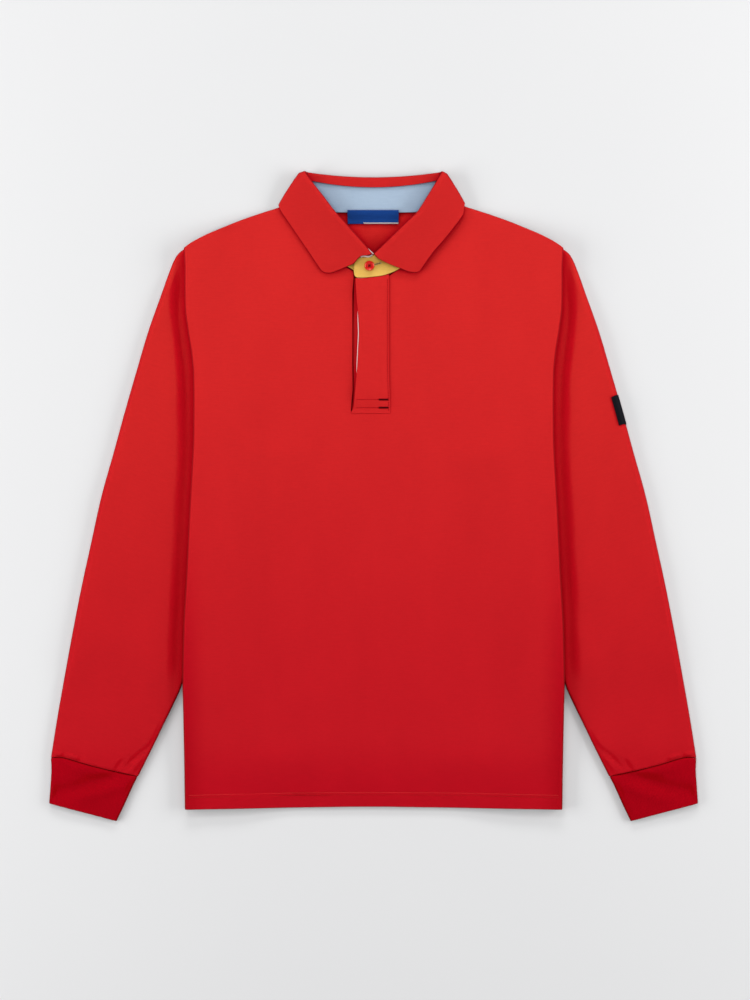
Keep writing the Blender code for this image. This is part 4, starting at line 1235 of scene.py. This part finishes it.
# Name, place, aim, size in metres and power in watts of each light
LIGHTS = (
    ("left_strip", (-2.3, -0.1, 0.74), (0.0, 0.0, 0.0), (2.2, 0.8), 47.5),
    ("right_strip", (2.3, 0.15, 0.74), (0.0, 0.0, 0.0), (2.2, 0.8), 48.5),
    ("key", (-1.9, 4.3, 3.75), (0.0, 0.0, 0.0), (0.8, 0.8), 46.0),
    ("far_strip", (0.0, 3.6, 1.27), (0.0, 0.0, 0.0), (3.2, 0.65), 66.0),
    ("overhead", (0.1, -0.5, 3.4), (0.0, -0.2, 0.0), (2.0, 2.0), 20.0),
)


def area_light(name, place, aim, size, power):
    data = bpy.data.lights.new(name, "AREA")
    data.shape = "RECTANGLE"
    data.size, data.size_y = size
    data.energy = power
    made = bpy.data.objects.new(name, data)
    made.location = place
    made.rotation_euler = (Vector(aim) - Vector(place)).to_track_quat("-Z", "Y").to_euler()
    made.visible_camera = False
    bpy.context.scene.collection.objects.link(made)


def make_floor():
    """A plain pale table top far wider than the view, just below the shirt."""
    reach = 9.0
    mesh = bpy.data.meshes.new("floor")
    corners = [(-reach, -reach), (reach, -reach), (reach, reach), (-reach, reach)]
    mesh.from_pydata([(x, y, -0.0002) for x, y in corners], [], [(0, 1, 2, 3)])
    made = bpy.data.objects.new("floor", mesh)
    bpy.context.scene.collection.objects.link(made)
    material, tree, shader, spot = blank_material("pale_floor")
    plug(tree, shader, {
        "Base Color": mix(tree, noise(tree, spot, 0.25, 2.0), (0.795, 0.795, 0.80), (0.81, 0.81, 0.812)),
        "Roughness": 0.9,
        "Specular IOR Level": 0.1,
    })
    mesh.materials.append(material)


def light_scene():
    """Low soft strips on three sides, a wide light overhead, a far key light and pale surroundings."""
    for light in LIGHTS:
        area_light(*light)
    world = bpy.data.worlds.new("studio")
    world.use_nodes = True
    background = world.node_tree.nodes["Background"]
    plug(world.node_tree, background, {"Color": (0.97, 0.98, 1.0, 1.0), "Strength": 0.22})
    bpy.context.scene.world = world


def make_camera():
    """A camera straight above, which sees the view height at the sight plane."""
    data = bpy.data.cameras.new("camera")
    data.lens = LENS
    data.sensor_width = SENSOR
    data.clip_start = 0.05
    data.clip_end = 50.0
    made = bpy.data.objects.new("camera", data)
    distance = VIEW_HEIGHT * LENS / SENSOR
    made.location = (VIEW_CENTRE[0] * MM, VIEW_CENTRE[1] * MM, (distance + SIGHT_PLANE) * MM)
    bpy.context.scene.collection.objects.link(made)
    bpy.context.scene.camera = made
    bpy.context.scene.view_settings.view_transform = "Standard"


def make_pieces():
    """Every piece of the shirt, and the button's material."""
    body_panel("front_cloth", 0, 3.7, "front_panel")
    body_panel("back_cloth", 1, 7.0, "back_panel")
    for make, kind in ((make_sleeve, "sleeve"), (make_cuff, "cuff")):
        for side, word in ((-1, "left"), (1, "right")):
            make(f"{kind}_{word}_cloth", side, f"{kind}_{word}")
    make_collar()
    arc_band(
        "inner_collar_band", (376.4, 6.2), (364.9, 8.4), (5.1, 4.9), (80.0, 77.0), 1.4, COLLAR_CLOTH, "rib",
        roll=1.6,
    )
    arc_band(
        "neck_band_cloth", (367.6, 8.0), (335.1, 1.0), (3.3, 2.6), (76.0, 62.0), BAND_WALL, BLUE_CLOTH,
        "neck_band", ("collar_stand",),
    )
    flat_piece("placket_below", UNDER_EDGE, level(2.5), 1.2, BELOW_CLOTH, "jersey", ("placket_under",))
    flat_piece(
        "placket_lining", FACING_EDGE, level(TAB_BOTTOM + 0.5), 0.8, WHITE_CLOTH, "facing",
        ("placket_facing",),
    )
    flat_piece(
        "placket_strip", PLACKET_EDGE, strip_height, strip_wall, RED_CLOTH, "jersey", ("placket_over",),
        (70, 18), strip_reach,
    )
    for name, rows, bottom, node in (
        ("stand_tab_below", STAND_BELOW, FRONT_TOP - WALL, "stand_under"),
        ("stand_tab_over", STAND_TAB, TAB_BOTTOM, "stand_over"),
    ):
        flat_piece(name, rows, level(bottom + WALL / 2), WALL, MUSTARD_CLOTH, "tab", (node,), (40, 18))
    hem_stitches()
    placket_stitches()
    buttonhole()
    button_thread()
    lining_edges()
    make_neck_label()
    make_arm_label()
    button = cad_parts["button"]
    button.data.materials.clear()
    button.data.materials.append(moulded_material("red_moulding"))


make_camera()
make_pieces()
make_floor()
light_scene()
